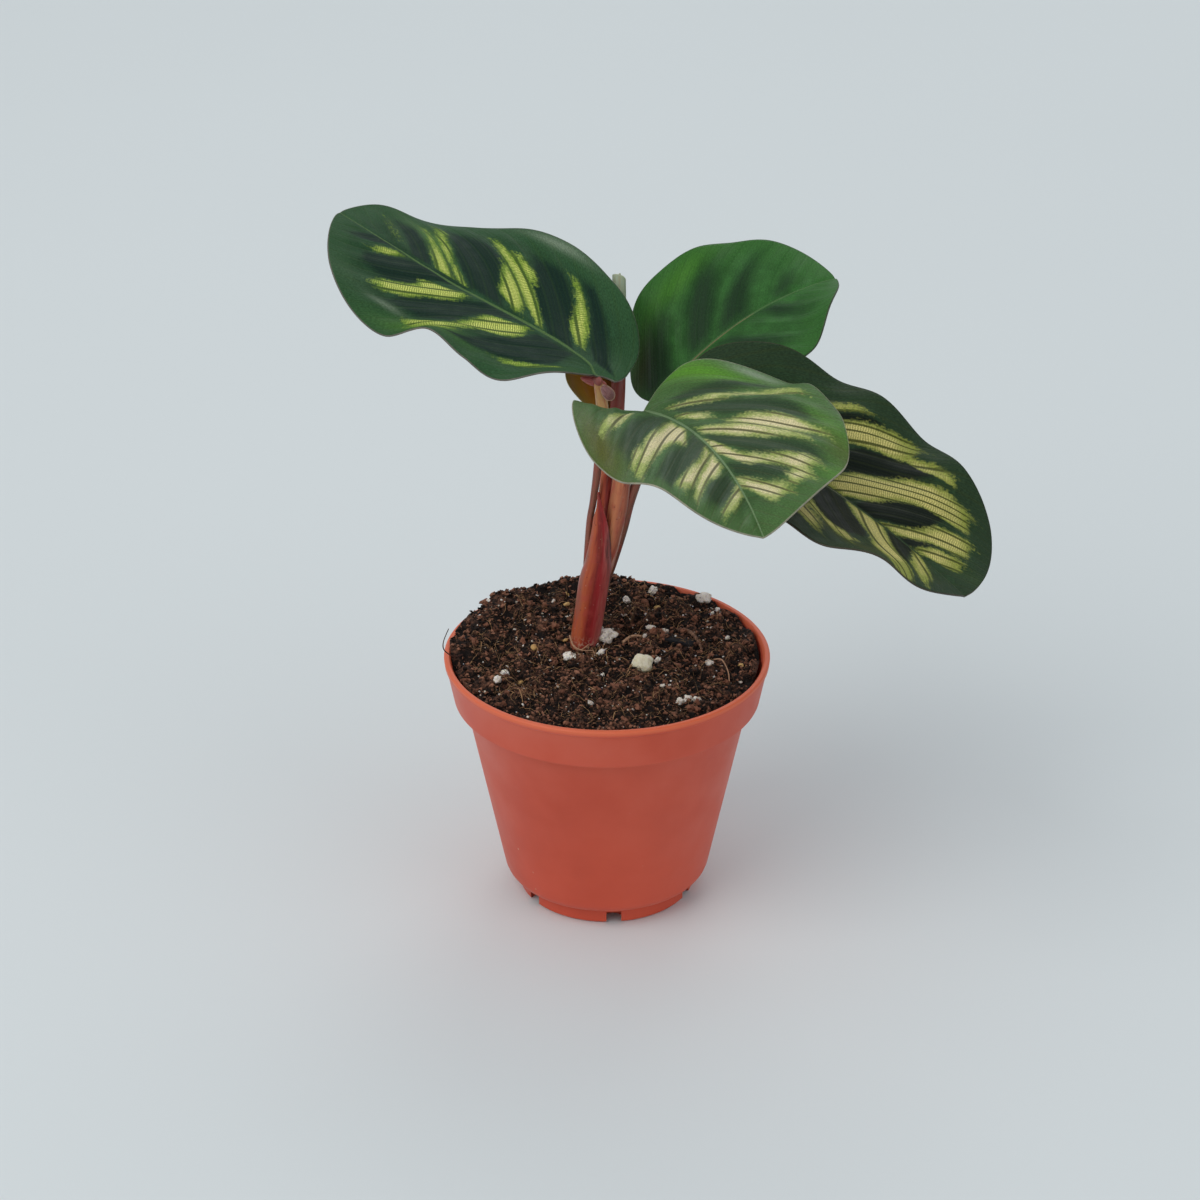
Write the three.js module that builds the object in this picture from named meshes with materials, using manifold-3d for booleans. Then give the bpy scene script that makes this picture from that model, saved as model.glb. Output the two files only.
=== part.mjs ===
// A young peacock plant (Goeppertia makoyana) in its small plastic nursery pot.
// Millimetres, +Z up. The origin is the middle of the pot's foot, on the surface that it stands on.

import * as THREE from 'three';
import { mergeVertices } from 'three/addons/utils/BufferGeometryUtils.js';
import Module from 'manifold-3d';

const wasm = await Module();
wasm.setup();

// ---- driving dimensions --------------------------------------------------------------------

const gap = 0.3;                 // clearance between neighbouring pieces

const potHeight = 48.5;
const rimRadius = 30;
const rimBandHeight = 8.2;       // the thicker band below the lip
const rimBandFootRadius = 28.4;
const bodyTopRadius = 26.3;      // the wall just under the band
const bodyFootRadius = 19.3;
const bodyFootHeight = 5.4;
const footRadius = 16.5;         // the set-back ring that the pot stands on
const footHeight = 2.9;
const wall = 1.1;
const potSides = 36;
const floorThickness = 1.6;
const drainHoles = { count: 6, radius: 2, fromAxis: 15, height: 2.4, firstAngle: 214.5 };

const soilLevel = 47.6;
const soilEdgeRadius = rimRadius - wall - gap - 0.45;
const soilTilt = 0.024;          // the soil stands higher towards the back
const soilMounds = [
  { x: -6.5, y: 24, height: 1.9, spread: 3.2 },
  { x: 2, y: 23, height: 1.5, spread: 3.6 },
  { x: -16, y: 12, height: 0.7, spread: 6 },
];
const crumbs = { count: 64, small: 1.1, large: 2.1 };
const perlite = { count: 14, small: 0.8, large: 1.1 };
const bigGrains = [
  { x: 6.0, y: 0.2, size: 1.75 },
  { x: -0.6, y: 3.6, size: 1.3 },
  { x: -6.6, y: 1.0, size: 1.2 },
  { x: 8.4, y: 7.0, size: 1.0 },
  { x: 10.6, y: 7.0, size: 1.0 },
  { x: -19.3, y: -1.8, size: 0.9 },
  { x: 15.6, y: -6.0, size: 1.1 },
  { x: 13.4, y: 2.5, size: 0.9 },
  { x: -13.6, y: 6.5, size: 0.9 },
];

const bladeThickness = 0.7;
const bladeRows = 20;            // cells from the base to the tip
const bladeColumns = 6;          // cells from the midrib to the margin

// Each blade is a flat heart-shaped outline laid on a curved midrib. Lengths in mm, angles in degrees.
// heading and pitch aim the midrib at its base; sway and droop are how far it turns by the tip.
// fold lifts both halves at the midrib; roll, left and right are twist and lift at even steps to the tip.
// lobes are how far the left and right halves reach back past the stalk, and edges how far their margins
// stand out from the plain outline; hook is how far the midrib swings to the left where it meets the stalk.
const leaves = {
  leaf_left: {
    stalk: 'petiole_left',
    base: [0, 3.8, 102], heading: 137.5, pitch: 13, sway: 18.5, droop: 9.5, bend: 1.07,
    length: 62, width: 45, lobes: [0.4, 6.9], point: 0.35, full: 0.94, blunt: 0.81, fold: 1.5,
    roll: [20, -5, -3, 7], left: [0, -24, 13, 29, -7, -15, -9, 2],
    right: [7, 36, 19, 14, 6, -12, -20, 11],
    edges: [[0, 1.1, 1, 0, 0, 0.3, 0.5, -1.1, 0], [0, -6.4, -3.2, -0.9, 0, -0.4, -1, 0, 0]],
    hook: { swing: 3.2, reach: 3.2 },
  },
  leaf_back: {
    stalk: 'petiole_back',
    base: [8.6, 19.7, 89.9], heading: 38, pitch: 37, sway: -21, droop: -29, bend: 1.34,
    length: 42.5, width: 36, lobes: [1.7, 1.4], point: 0.33, full: 0.98, blunt: 0.94, fold: 11.5,
    roll: [-16, 11, 14, 0], left: [-7, -9, 15, 11, 11, -1, 13, 8],
    right: [4, -1, -3, -7, -9, -11, 9, 16],
    edges: [[0, -0.6, -0.6, 0.2, 0.1, 0.1, 0.3, 0.3, 0], [0, 0, -0.1, -0.2, -0.3, 0.3, 0.1, -0.2, 0]],
    hook: { swing: 0, reach: 3.2 },
  },
  leaf_front: {
    stalk: 'petiole_front',
    base: [6.4, 1.7, 96.1], heading: -60.5, pitch: 17, sway: -12.5, droop: -42.5, bend: 1.1,
    length: 50.5, width: 45, lobes: [5.2, 2.2], point: 0.38, full: 0.95, blunt: 0.87, fold: 21.5,
    roll: [11, 2, 1, 5], left: [17, -23, -29, -13, -14, -8, -14, 31],
    right: [26, 13, -11, -25, -30, -25, 11, 21],
    edges: [[0, -2.5, -2.6, -0.2, -0.1, 0, 0.4, -2.4, 0], [0, 0.1, 0.6, 0.3, 0.3, 0, 0.3, 0.2, 0]],
    hook: { swing: 0, reach: 3.2 },
  },
  leaf_right: {
    stalk: 'petiole_right',
    base: [11.8, 5.7, 96.2], heading: -32, pitch: -10, sway: -10.5, droop: -15.5, bend: 1.03,
    length: 65.5, width: 48, lobes: [4.2, 2.6], point: 0.4, full: 0.96, blunt: 0.75, fold: 8.5,
    roll: [25, 9, -5, -19], left: [12, 12, -11, 6, -1, 19, 13, -4],
    right: [4, 4, 4, 6, 9, 1, 10, -26],
    edges: [[0, -0.9, -1.3, 0, 0, 0.1, 0.5, -0.3, 0], [0, 0, -0.2, -0.7, -1.2, 0.4, 0.1, 0.5, 0]],
    hook: { swing: 0, reach: 3.2 },
  },
};
const midribRadius = 0.85;       // at the blade's base; it thins towards the tip
const midribReach = 0.8;         // how far along the blade the rib stands out below
const kneeLength = 2.4;          // the swollen joint between stalk and blade
const kneeHalfWidths = [1, 1];

// Stalks and sheaths: points from the crown upwards, with the half-widths across x and y at each.
// A stalk that carries a blade runs on from its last point to that blade's knee.
const stems = {
  sheath_outer: {
    points: [
      [-6.7, 4, 33.3], [-4.4, 4.2, 47.2], [-3.1, 4.5, 55],
      [-1.9, 4.6, 62.5], [-1.4, 4.3, 70], [-1.4, 3.5, 81],
    ],
    halfWidths: [[2, 2], [2.3, 2.2], [2.6, 2.4], [2.6, 2.4], [1.8, 1.7], [0.35, 0.35]],
  },
  sheath_right: {
    points: [[-2.6, 5, 56], [-0.3, 5.1, 64], [1.2, 5.1, 71], [2.1, 5, 77], [2.9, 4.6, 84]],
    halfWidths: [[1.2, 1.2], [1.5, 1.4], [1.5, 1.4], [1.35, 1.2], [0.5, 0.5]],
  },
  petiole_left: {
    points: [
      [-4.3, 4.5, 54], [-3.3, 4.5, 71], [-2.5, 4.5, 77], [-1.7, 4.4, 84], [-1.2, 4.1, 92], [-0.9, 3.8, 96],
    ],
    halfWidths: [[0.6, 0.6], [0.62, 0.65], [0.65, 0.7], [0.75, 0.75], [0.9, 0.85], [1.1, 0.95]],
  },
  petiole_back: {
    points: [[-2.2, 5.6, 56], [0.4, 7, 68], [3.4, 11, 78], [6.2, 15.5, 84.5]],
    halfWidths: [[0.8, 0.8], [0.85, 0.85], [0.85, 0.85], [0.85, 0.85]],
  },
  petiole_front: {
    points: [[0.9, 5, 69], [2.2, 4.8, 77], [3.7, 3.9, 85], [5.3, 2.5, 91]],
    halfWidths: [[0.8, 0.8], [0.85, 0.85], [0.85, 0.85], [0.9, 0.9]],
  },
  petiole_right: {
    points: [
      [-1.4, 5.4, 57], [0.9, 5.5, 64], [2.9, 5.6, 71], [4.3, 5.6, 77], [7.2, 5.7, 85.5], [10.2, 5.7, 91.4],
    ],
    halfWidths: [[0.9, 0.9], [0.9, 0.9], [0.9, 0.9], [0.9, 0.9], [0.85, 0.85], [0.9, 0.9]],
  },
  petiole_young: {
    points: [[-2, 5.6, 57], [-0.9, 5.7, 68], [-0.1, 6, 77], [0.7, 9, 83.5], [1.45, 12.75, 89.1]],
    halfWidths: [[0.75, 0.75], [0.75, 0.75], [0.78, 0.78], [1, 1], [1.5, 1.5]],
  },
};
const stemSides = 10;

// The young leaf is a sheet rolled round its own axis. Its outer edge opens to one side in a flap, which is
// widest at peak, a share of the way up, and fades over the shares below and above it.
const youngLeaf = {
  axis: [[1.5, 13, 89.4], [1.8, 17, 94.4], [2, 24, 101.6], [2, 33.5, 110]],
  innerRadius: 0.55,
  pitchPerTurn: 0.95,
  turns: 1.15,
  rolledShare: 0.72,             // of the sheet; the rest makes the flap
  flap: { length: 8.1, peak: 0.3, below: 0.3, above: 0.12, edge: 1.2 },
  taper: 0.05,
  tipSlant: 3,
  rows: 13,
  columns: 21,
};

// ---- small helpers -------------------------------------------------------------------------

const radians = THREE.MathUtils.degToRad;

let seed = 20;
function random() {
  seed = (seed * 16807) % 2147483647;
  return seed / 2147483647;
}

function between(low, high) {
  return low + (high - low) * random();
}

// A smooth value through evenly spaced stations, t from 0 to 1.
function throughStations(values, t) {
  const last = values.length - 1;
  const place = THREE.MathUtils.clamp(t, 0, 1) * last;
  const i = Math.min(Math.floor(place), last - 1);
  const f = place - i;
  const [a, d] = [values[Math.max(i - 1, 0)], values[Math.min(i + 2, last)]];
  const [b, c] = [values[i], values[i + 1]];
  const [slope, bend] = [c - a, 2 * a - 5 * b + 4 * c - d];
  return 0.5 * (2 * b + slope * f + bend * f ** 2 + (3 * b - a - 3 * c + d) * f ** 3);
}

function toSolid(geometry) {
  const bare = geometry.clone();
  bare.deleteAttribute('normal');
  bare.deleteAttribute('uv');
  const merged = mergeVertices(bare, 1e-4);
  return new wasm.Manifold(new wasm.Mesh({
    numProp: 3,
    vertProperties: new Float32Array(merged.attributes.position.array),
    triVerts: new Uint32Array(merged.index.array),
  }));
}

function toGeometry(solid) {
  const mesh = solid.getMesh();
  const geometry = new THREE.BufferGeometry();
  geometry.setAttribute('position', new THREE.BufferAttribute(new Float32Array(mesh.vertProperties), 3));
  geometry.setIndex(new THREE.BufferAttribute(new Uint32Array(mesh.triVerts), 1));
  geometry.computeVertexNormals();
  return geometry;
}

function lathe(profile, segments) {
  const points = profile.map(([r, z]) => new THREE.Vector2(r, z));
  return new THREE.LatheGeometry(points, segments).rotateX(Math.PI / 2);
}

// A closed sheet round a middle surface: both faces carry the same triangles, and a rim joins them.
// surfacePoint(i, j) gives the middle surface at row i and column j.
function closedSheet(surfacePoint, rows, columns, thickness) {
  const middle = [];
  for (let i = 0; i <= rows; i += 1) {
    middle.push([]);
    for (let j = 0; j <= columns; j += 1) middle[i].push(surfacePoint(i, j));
  }
  const normalAt = (i, j) => {
    const step = 0.02;
    const inside = (value, most) => THREE.MathUtils.clamp(value, step, most - step);
    const atPoint = middle[i][0].distanceTo(middle[i][columns]) < step;
    const [row, column] = [inside(i, rows), atPoint ? columns / 2 : inside(j, columns)];
    const along = surfacePoint(row + step, column).sub(surfacePoint(row - step, column));
    const across = surfacePoint(row, column + step).sub(surfacePoint(row, column - step));
    return along.cross(across).normalize();
  };
  const positions = [];
  for (const side of [0.5, -0.5]) {
    for (let i = 0; i <= rows; i += 1) {
      for (let j = 0; j <= columns; j += 1) {
        positions.push(...middle[i][j].clone().addScaledVector(normalAt(i, j), side * thickness).toArray());
      }
    }
  }
  const top = (i, j) => i * (columns + 1) + j;
  const bottom = (i, j) => top(i, j) + (rows + 1) * (columns + 1);
  const index = [];
  const quad = (a, b, c, d) => index.push(a, b, c, a, c, d);
  for (let i = 0; i < rows; i += 1) {
    for (let j = 0; j < columns; j += 1) {
      quad(top(i, j), top(i + 1, j), top(i + 1, j + 1), top(i, j + 1));
      index.push(bottom(i, j), bottom(i + 1, j + 1), bottom(i + 1, j));
      index.push(bottom(i, j), bottom(i, j + 1), bottom(i + 1, j + 1));
    }
    quad(top(i, 0), bottom(i, 0), bottom(i + 1, 0), top(i + 1, 0));
    quad(top(i + 1, columns), bottom(i + 1, columns), bottom(i, columns), top(i, columns));
  }
  for (let j = 0; j < columns; j += 1) {
    quad(top(0, j + 1), bottom(0, j + 1), bottom(0, j), top(0, j));
    quad(top(rows, j), bottom(rows, j), bottom(rows, j + 1), top(rows, j + 1));
  }
  const geometry = new THREE.BufferGeometry();
  geometry.setAttribute('position', new THREE.Float32BufferAttribute(positions, 3));
  geometry.setIndex(index);
  return geometry;
}

// A closed stem along a smooth curve, with its two half-widths given at each point.
function taperedStem(points, halfWidths, sides) {
  const places = points.map((p) => new THREE.Vector3(...p));
  const curve = new THREE.CatmullRomCurve3(places, false, 'centripetal');
  const segments = 2 * (points.length - 1);
  const geometry = new THREE.CylinderGeometry(1, 1, 1, sides, segments).rotateX(Math.PI / 2);
  const position = geometry.attributes.position;
  for (let k = 0; k < position.count; k += 1) {
    const t = position.getZ(k) + 0.5;
    const centre = curve.getPoint(t);
    const tangent = curve.getTangent(t);
    const across = new THREE.Vector3(1, 0, 0).addScaledVector(tangent, -tangent.x).normalize();
    const towardBack = tangent.clone().cross(across);
    const halfX = throughStations(halfWidths.map((w) => w[0]), t);
    const halfY = throughStations(halfWidths.map((w) => w[1]), t);
    centre.addScaledVector(across, position.getX(k) * halfX);
    centre.addScaledVector(towardBack, position.getY(k) * halfY);
    position.setXYZ(k, ...centre.toArray());
  }
  return geometry;
}

// ---- pot -----------------------------------------------------------------------------------

function makePot() {
  const bandFoot = potHeight - rimBandHeight;
  const profile = [
    [0, 0], [footRadius - 0.4, 0], [footRadius, 0.4], [footRadius, footHeight],
    [footRadius + 0.9, footHeight + 0.3], [footRadius + 2, footHeight + 1],
    [bodyFootRadius, bodyFootHeight], [bodyTopRadius, bandFoot - 0.5],
    [rimBandFootRadius - 0.1, bandFoot], [rimBandFootRadius, bandFoot + 0.5],
    [rimRadius - 0.1, potHeight - 0.6], [rimRadius, potHeight - 0.2], [rimRadius - 0.4, potHeight],
    [rimRadius - wall + 0.2, potHeight], [rimRadius - wall - 0.1, potHeight - 0.4],
    [rimBandFootRadius - wall, bandFoot + 1.1], [bodyTopRadius - wall + 0.05, bandFoot + 0.6],
    [bodyFootRadius - wall, bodyFootHeight + 0.4], [footRadius + 0.7, footHeight + 1.7],
    [footRadius - wall, footHeight + 1.3], [footRadius - wall, floorThickness], [0, floorThickness],
  ];
  let pot = toSolid(lathe(profile, potSides));
  for (let k = 0; k < drainHoles.count; k += 1) {
    const angle = radians(drainHoles.firstAngle + 360 * k / drainHoles.count);
    const hole = new THREE.CylinderGeometry(drainHoles.radius, drainHoles.radius, 2 * drainHoles.height, 10)
      .rotateX(Math.PI / 2)
      .translate(drainHoles.fromAxis * Math.cos(angle), drainHoles.fromAxis * Math.sin(angle), 0);
    pot = pot.subtract(toSolid(hole));
  }
  return toGeometry(pot);
}

// ---- soil ----------------------------------------------------------------------------------

function soilHeight(x, y) {
  const fromEdge = Math.min(1, (soilEdgeRadius - Math.hypot(x, y)) / 3);
  let height = soilLevel + soilTilt * y - 0.7 * (1 - fromEdge);
  for (const mound of soilMounds) {
    const distance = Math.hypot(x - mound.x, y - mound.y) / mound.spread;
    height += mound.height * Math.exp(-distance * distance);
  }
  height += 0.22 * Math.sin(0.55 * x + 1.3) * Math.cos(0.48 * y) + 0.16 * Math.sin(0.9 * y - 0.7 * x);
  return height;
}

function makeGrain(x, y, size, shape) {
  const grain = shape.clone();
  grain.rotateX(between(0, Math.PI)).rotateZ(between(0, Math.PI));
  grain.scale(size, size * between(0.7, 1), size * between(0.6, 0.8));
  return toSolid(grain.translate(x, y, soilHeight(x, y) + 0.2 * size - 0.15));
}

function makeSoil() {
  const bandFoot = potHeight - rimBandHeight;
  const flatTop = soilLevel - 0.4;
  const rings = [soilEdgeRadius, 25.4, 22.2, 19, 15.8, 12.6, 9.4, 6.2, 3];
  const profile = [
    [0, floorThickness + gap], [footRadius - wall - gap, floorThickness + gap],
    [footRadius - wall - gap, footHeight + 1.6], [footRadius + 0.5, footHeight + 2],
    [bodyFootRadius - wall - gap, bodyFootHeight + 0.7], [bodyTopRadius - wall - gap, bandFoot + 0.9],
    [rimBandFootRadius - wall - gap - 0.1, bandFoot + 1.5],
    ...rings.map((r) => [r, flatTop]), [0, flatTop],
  ];
  const plug = lathe(profile, potSides);
  const position = plug.attributes.position;
  for (let k = 0; k < position.count; k += 1) {
    if (position.getZ(k) < flatTop - 0.01) continue;
    position.setZ(k, soilHeight(position.getX(k), position.getY(k)));
  }
  let soil = toSolid(plug);

  const crumbShape = new THREE.OctahedronGeometry(1);
  const perliteShape = new THREE.IcosahedronGeometry(1);
  const crown = stems.sheath_outer.points[1];
  const clearOfCrown = (x, y, size) => Math.hypot(x - crown[0], y - crown[1]) > 3.4 + size;
  const scatter = (rule, shape) => {
    for (let placed = 0; placed < rule.count;) {
      const size = between(rule.small, rule.large) * between(0.7, 1);
      const radius = (soilEdgeRadius - 1.2 - size) * Math.sqrt(random());
      const angle = between(0, 2 * Math.PI);
      const [x, y] = [radius * Math.cos(angle), radius * Math.sin(angle)];
      if (!clearOfCrown(x, y, size)) continue;
      soil = soil.add(makeGrain(x, y, size, shape));
      placed += 1;
    }
  };
  scatter(crumbs, crumbShape);
  scatter(perlite, perliteShape);
  for (const grain of bigGrains) soil = soil.add(makeGrain(grain.x, grain.y, grain.size, perliteShape));

  const foot = stems.sheath_outer;
  const hole = taperedStem(
    foot.points.slice(0, 3).map(([x, y, z], k) => [x, y, k === 0 ? z - gap : z]),
    foot.halfWidths.slice(0, 3).map(([a, b]) => [a + gap + 0.1, b + gap + 0.1]),
    16,
  );
  return toGeometry(soil.subtract(toSolid(hole)));
}

// ---- shoot: crown, sheaths and stalks, grown as one ----------------------------------------

// The point on the line from a blade's base to its stalk's last point, at a distance below the base.
function underBase(leaf, distance) {
  const base = bladeSurface(leaf)(0, 0);
  const stalkTop = new THREE.Vector3(...stems[leaf.stalk].points.at(-1));
  return base.add(stalkTop.sub(base).setLength(distance)).toArray();
}

function makeShoot() {
  const shoot = Object.entries(stems).map(([name, { points, halfWidths }]) => {
    const leaf = Object.values(leaves).find((blade) => blade.stalk === name);
    if (leaf === undefined) return toSolid(taperedStem(points, halfWidths, stemSides));
    const end = underBase(leaf, kneeLength + gap);
    return toSolid(taperedStem([...points, end], [...halfWidths, kneeHalfWidths], stemSides));
  });
  return toGeometry(shoot.reduce((joined, stem) => joined.add(stem)));
}

// ---- blades --------------------------------------------------------------------------------

// The flat outline at tau, 0 at the stalk and 1 at the tip: distance along, and distance from the midrib.
// half is 0 for the left half of the blade and 1 for the right.
function flatMargin(leaf, tau, half) {
  const turn = Math.PI * tau;
  const lobe = tau < 0.5 ? leaf.lobes[half] * Math.sin(2 * turn) : 0;
  const narrowing = 1 - leaf.point * Math.exp(-(((1 - tau) / 0.1) ** 2));
  const plain = leaf.width / 2 * Math.sin(turn) ** leaf.blunt * narrowing;
  return [
    leaf.length * ((1 - Math.cos(turn)) / 2) ** leaf.full - lobe,
    plain + throughStations(leaf.edges[half], tau),
  ];
}

// Points and aims along the midrib, found by adding up short steps.
function midribSteps(leaf) {
  const count = 80;
  const aim = (t) => {
    const heading = radians(leaf.heading + leaf.sway * t);
    const pitch = radians(leaf.pitch + leaf.droop * t ** leaf.bend);
    return { heading, pitch };
  };
  const direction = ({ heading, pitch }) => new THREE.Vector3(
    Math.cos(heading) * Math.cos(pitch), Math.sin(heading) * Math.cos(pitch), Math.sin(pitch));
  const points = [new THREE.Vector3(...leaf.base)];
  for (let k = 0; k < count; k += 1) {
    const step = direction(aim((k + 0.5) / count)).multiplyScalar(leaf.length / count);
    points.push(points[k].clone().add(step));
  }
  return { count, points, aim, direction };
}

// The bent blade: a point that is x along the flat leaf and y to its left.
function bladeSurface(leaf) {
  const { count, points, aim, direction } = midribSteps(leaf);
  return (x, straightY) => {
    const y = straightY + leaf.hook.swing * Math.exp(-((Math.max(x, 0) / leaf.hook.reach) ** 2));
    const t = x / leaf.length;
    const inside = THREE.MathUtils.clamp(t, 0, 1);
    const k = Math.min(Math.floor(inside * count), count - 1);
    const place = points[k].clone().lerp(points[k + 1], inside * count - k);
    const here = aim(inside);
    const along = direction(here);
    place.addScaledVector(along, Math.min(t, 0) * leaf.length);
    const level = new THREE.Vector3(-Math.sin(here.heading), Math.cos(here.heading), 0);
    const up = along.clone().cross(level);
    const roll = radians(throughStations(leaf.roll, inside));
    const left = level.clone().multiplyScalar(Math.cos(roll)).addScaledVector(up, Math.sin(roll));
    const normal = up.clone().multiplyScalar(Math.cos(roll)).addScaledVector(level, -Math.sin(roll));
    const half = leaf.width / 2;
    const lift = radians(throughStations(y >= 0 ? leaf.left : leaf.right, inside));
    const curl = Math.abs(lift) < 1e-4 ? 1e-4 : lift;
    const start = radians(leaf.fold);
    const end = start + curl * Math.abs(y) / half;
    const outward = half / curl * (Math.sin(end) - Math.sin(start));
    const raised = half / curl * (Math.cos(start) - Math.cos(end));
    return place.addScaledVector(left, Math.sign(y) * outward).addScaledVector(normal, raised);
  };
}

function makeLeaf(leaf) {
  const surface = bladeSurface(leaf);
  const flatPoint = (i, j) => {
    const tau = i / bladeRows;
    const across = (j - bladeColumns) / bladeColumns;
    const middle = leaf.length * (0.98 * tau ** 1.2 + 0.02 * tau);
    const [marginX, marginY] = flatMargin(leaf, tau, across > 0 ? 0 : 1);
    return [middle + (marginX - middle) * Math.abs(across) ** 1.5, marginY * across];
  };
  const surfacePoint = (i, j) => surface(...flatPoint(i, j));
  const blade = toSolid(closedSheet(surfacePoint, bladeRows, 2 * bladeColumns, bladeThickness));

  const below = (t, depth) => surface(t * leaf.length, 0).add(new THREE.Vector3(0, 0, -depth)).toArray();
  const ribPoints = [
    underBase(leaf, kneeLength), below(0.01, 0.7), below(0.2, 0.55), below(0.45, 0.4),
    below(midribReach, 0.25),
  ];
  const ribWidths = [1, 1.05, 0.85, 0.6, 0.35].map((share) => [share * midribRadius, share * midribRadius]);
  return toGeometry(blade.add(toSolid(taperedStem(ribPoints, ribWidths, 6))));
}

// ---- young leaf ----------------------------------------------------------------------------

function makeYoungLeaf() {
  const leaf = youngLeaf;
  const axisPoints = leaf.axis.map((p) => new THREE.Vector3(...p));
  const axis = new THREE.CatmullRomCurve3(axisPoints, false, 'centripetal');
  const length = axis.getLength();
  const surfacePoint = (i, j) => {
    const s = i / leaf.rows;
    const v = j / leaf.columns;
    const t = s * (1 - leaf.tipSlant / length * v);
    const centre = axis.getPoint(t);
    const tangent = axis.getTangent(t);
    const right = new THREE.Vector3(1, 0, 0).addScaledVector(tangent, -tangent.x).normalize();
    const back = tangent.clone().cross(right);
    const taper = 1 - leaf.taper * s * s;
    const rolled = Math.min(v / leaf.rolledShare, 1);
    const endAngle = Math.PI / 2;
    const angle = endAngle - 2 * Math.PI * leaf.turns * (1 - rolled);
    const radius = (leaf.innerRadius + leaf.pitchPerTurn * leaf.turns * rolled) * taper;
    const open = Math.max(0, (v - leaf.rolledShare) / (1 - leaf.rolledShare));
    const fade = (s - leaf.flap.peak) / (s < leaf.flap.peak ? leaf.flap.below : leaf.flap.above);
    const flap = open * (leaf.flap.length * Math.exp(-fade * fade) + leaf.flap.edge);
    centre.addScaledVector(right, radius * Math.cos(angle) - flap);
    return centre.addScaledVector(back, radius * Math.sin(angle) - 0.1 * flap * open);
  };
  return toGeometry(toSolid(closedSheet(surfacePoint, leaf.rows, leaf.columns, 0.6)));
}

// ---- the plant -----------------------------------------------------------------------------

function named(name, geometry, color, roughness) {
  const material = new THREE.MeshStandardMaterial({ color, roughness, metalness: 0 });
  const mesh = new THREE.Mesh(geometry, material);
  mesh.name = name;
  return mesh;
}

const plant = new THREE.Group();
plant.add(named('pot', makePot(), 0xa8441f, 0.45));
plant.add(named('soil', makeSoil(), 0x2f2019, 0.95));
plant.add(named('shoot', makeShoot(), 0x7a3326, 0.5));
for (const [name, leaf] of Object.entries(leaves)) plant.add(named(name, makeLeaf(leaf), 0x2f5a34, 0.4));
plant.add(named('leaf_young', makeYoungLeaf(), 0x7d3a34, 0.5));

export default plant;
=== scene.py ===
# A young peacock plant in its small plastic nursery pot.
# The script works in millimetres and brings each finished mesh to metres at the end.
import math
import random

import bmesh
import bpy
from mathutils import Matrix, Vector, kdtree, noise


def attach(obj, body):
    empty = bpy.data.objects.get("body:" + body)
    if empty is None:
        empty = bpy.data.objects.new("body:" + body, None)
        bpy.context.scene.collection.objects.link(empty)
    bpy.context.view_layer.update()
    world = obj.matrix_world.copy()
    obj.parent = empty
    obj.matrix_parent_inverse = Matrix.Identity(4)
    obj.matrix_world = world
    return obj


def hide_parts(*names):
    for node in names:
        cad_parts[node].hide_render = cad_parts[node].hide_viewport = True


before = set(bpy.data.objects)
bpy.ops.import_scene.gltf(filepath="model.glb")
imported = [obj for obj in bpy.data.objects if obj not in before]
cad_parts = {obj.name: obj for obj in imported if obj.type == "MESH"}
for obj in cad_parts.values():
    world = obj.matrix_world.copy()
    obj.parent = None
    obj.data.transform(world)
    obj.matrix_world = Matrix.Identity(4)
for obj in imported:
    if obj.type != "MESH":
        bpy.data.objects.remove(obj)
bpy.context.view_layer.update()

millimetre = 0.001


# small helpers for shapes

def throughStations(values, t):
    # a smooth value through evenly spaced stations, t from 0 to 1
    last = len(values) - 1
    place = min(max(t, 0.0), 1.0) * last
    i = min(int(place), last - 1)
    f = place - i
    a, b, c, d = values[max(i - 1, 0)], values[i], values[i + 1], values[min(i + 2, last)]
    bend, twist = 2 * a - 5 * b + 4 * c - d, 3 * b - a - 3 * c + d
    return b + 0.5 * f * (c - a + bend * f + twist * f * f)


def pathThrough(points, t):
    return Vector([throughStations([p[k] for p in points], t) for k in range(3)])


def smoothStep(low, high, value):
    # from 0 to 1 as the value goes from low to high, which may run either way
    share = min(max((value - low) / (high - low), 0.0), 1.0)
    return share * share * (3 - 2 * share)


def directionAt(pathAt, t, step=0.004):
    return (pathAt(min(t + step, 1.0)) - pathAt(max(t - step, 0.0))).normalized()


def turnProfile(bm, profile, steps):
    # a closed shape turned round the upright axis from points of radius and height
    verts = [bm.verts.new((radius, 0, height)) for radius, height in profile]
    edges = [bm.edges.new(pair) for pair in zip(verts, verts[1:])]
    bmesh.ops.spin(bm, geom=verts + edges, cent=(0, 0, 0), axis=(0, 0, 1), angle=2 * math.pi, steps=steps,
                   use_merge=True)
    bmesh.ops.remove_doubles(bm, verts=bm.verts, dist=0.001)
    bmesh.ops.recalc_face_normals(bm, faces=bm.faces)


def unitTube(bm, sides, rows):
    # a closed tube of radius 1, from height 0 to 1
    bmesh.ops.create_grid(bm, x_segments=sides, y_segments=rows + 2, size=0.5)
    for vert in bm.verts:
        row = round((vert.co.y + 0.5) * (rows + 2))
        angle = 2 * math.pi * (vert.co.x + 0.5)
        radius = 0 if row in (0, rows + 2) else 1
        height = min(max((row - 1) / rows, 0), 1)
        vert.co = (radius * math.cos(angle), radius * math.sin(angle), height)
    bmesh.ops.remove_doubles(bm, verts=bm.verts, dist=0.0001)
    bmesh.ops.recalc_face_normals(bm, faces=bm.faces)


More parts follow.
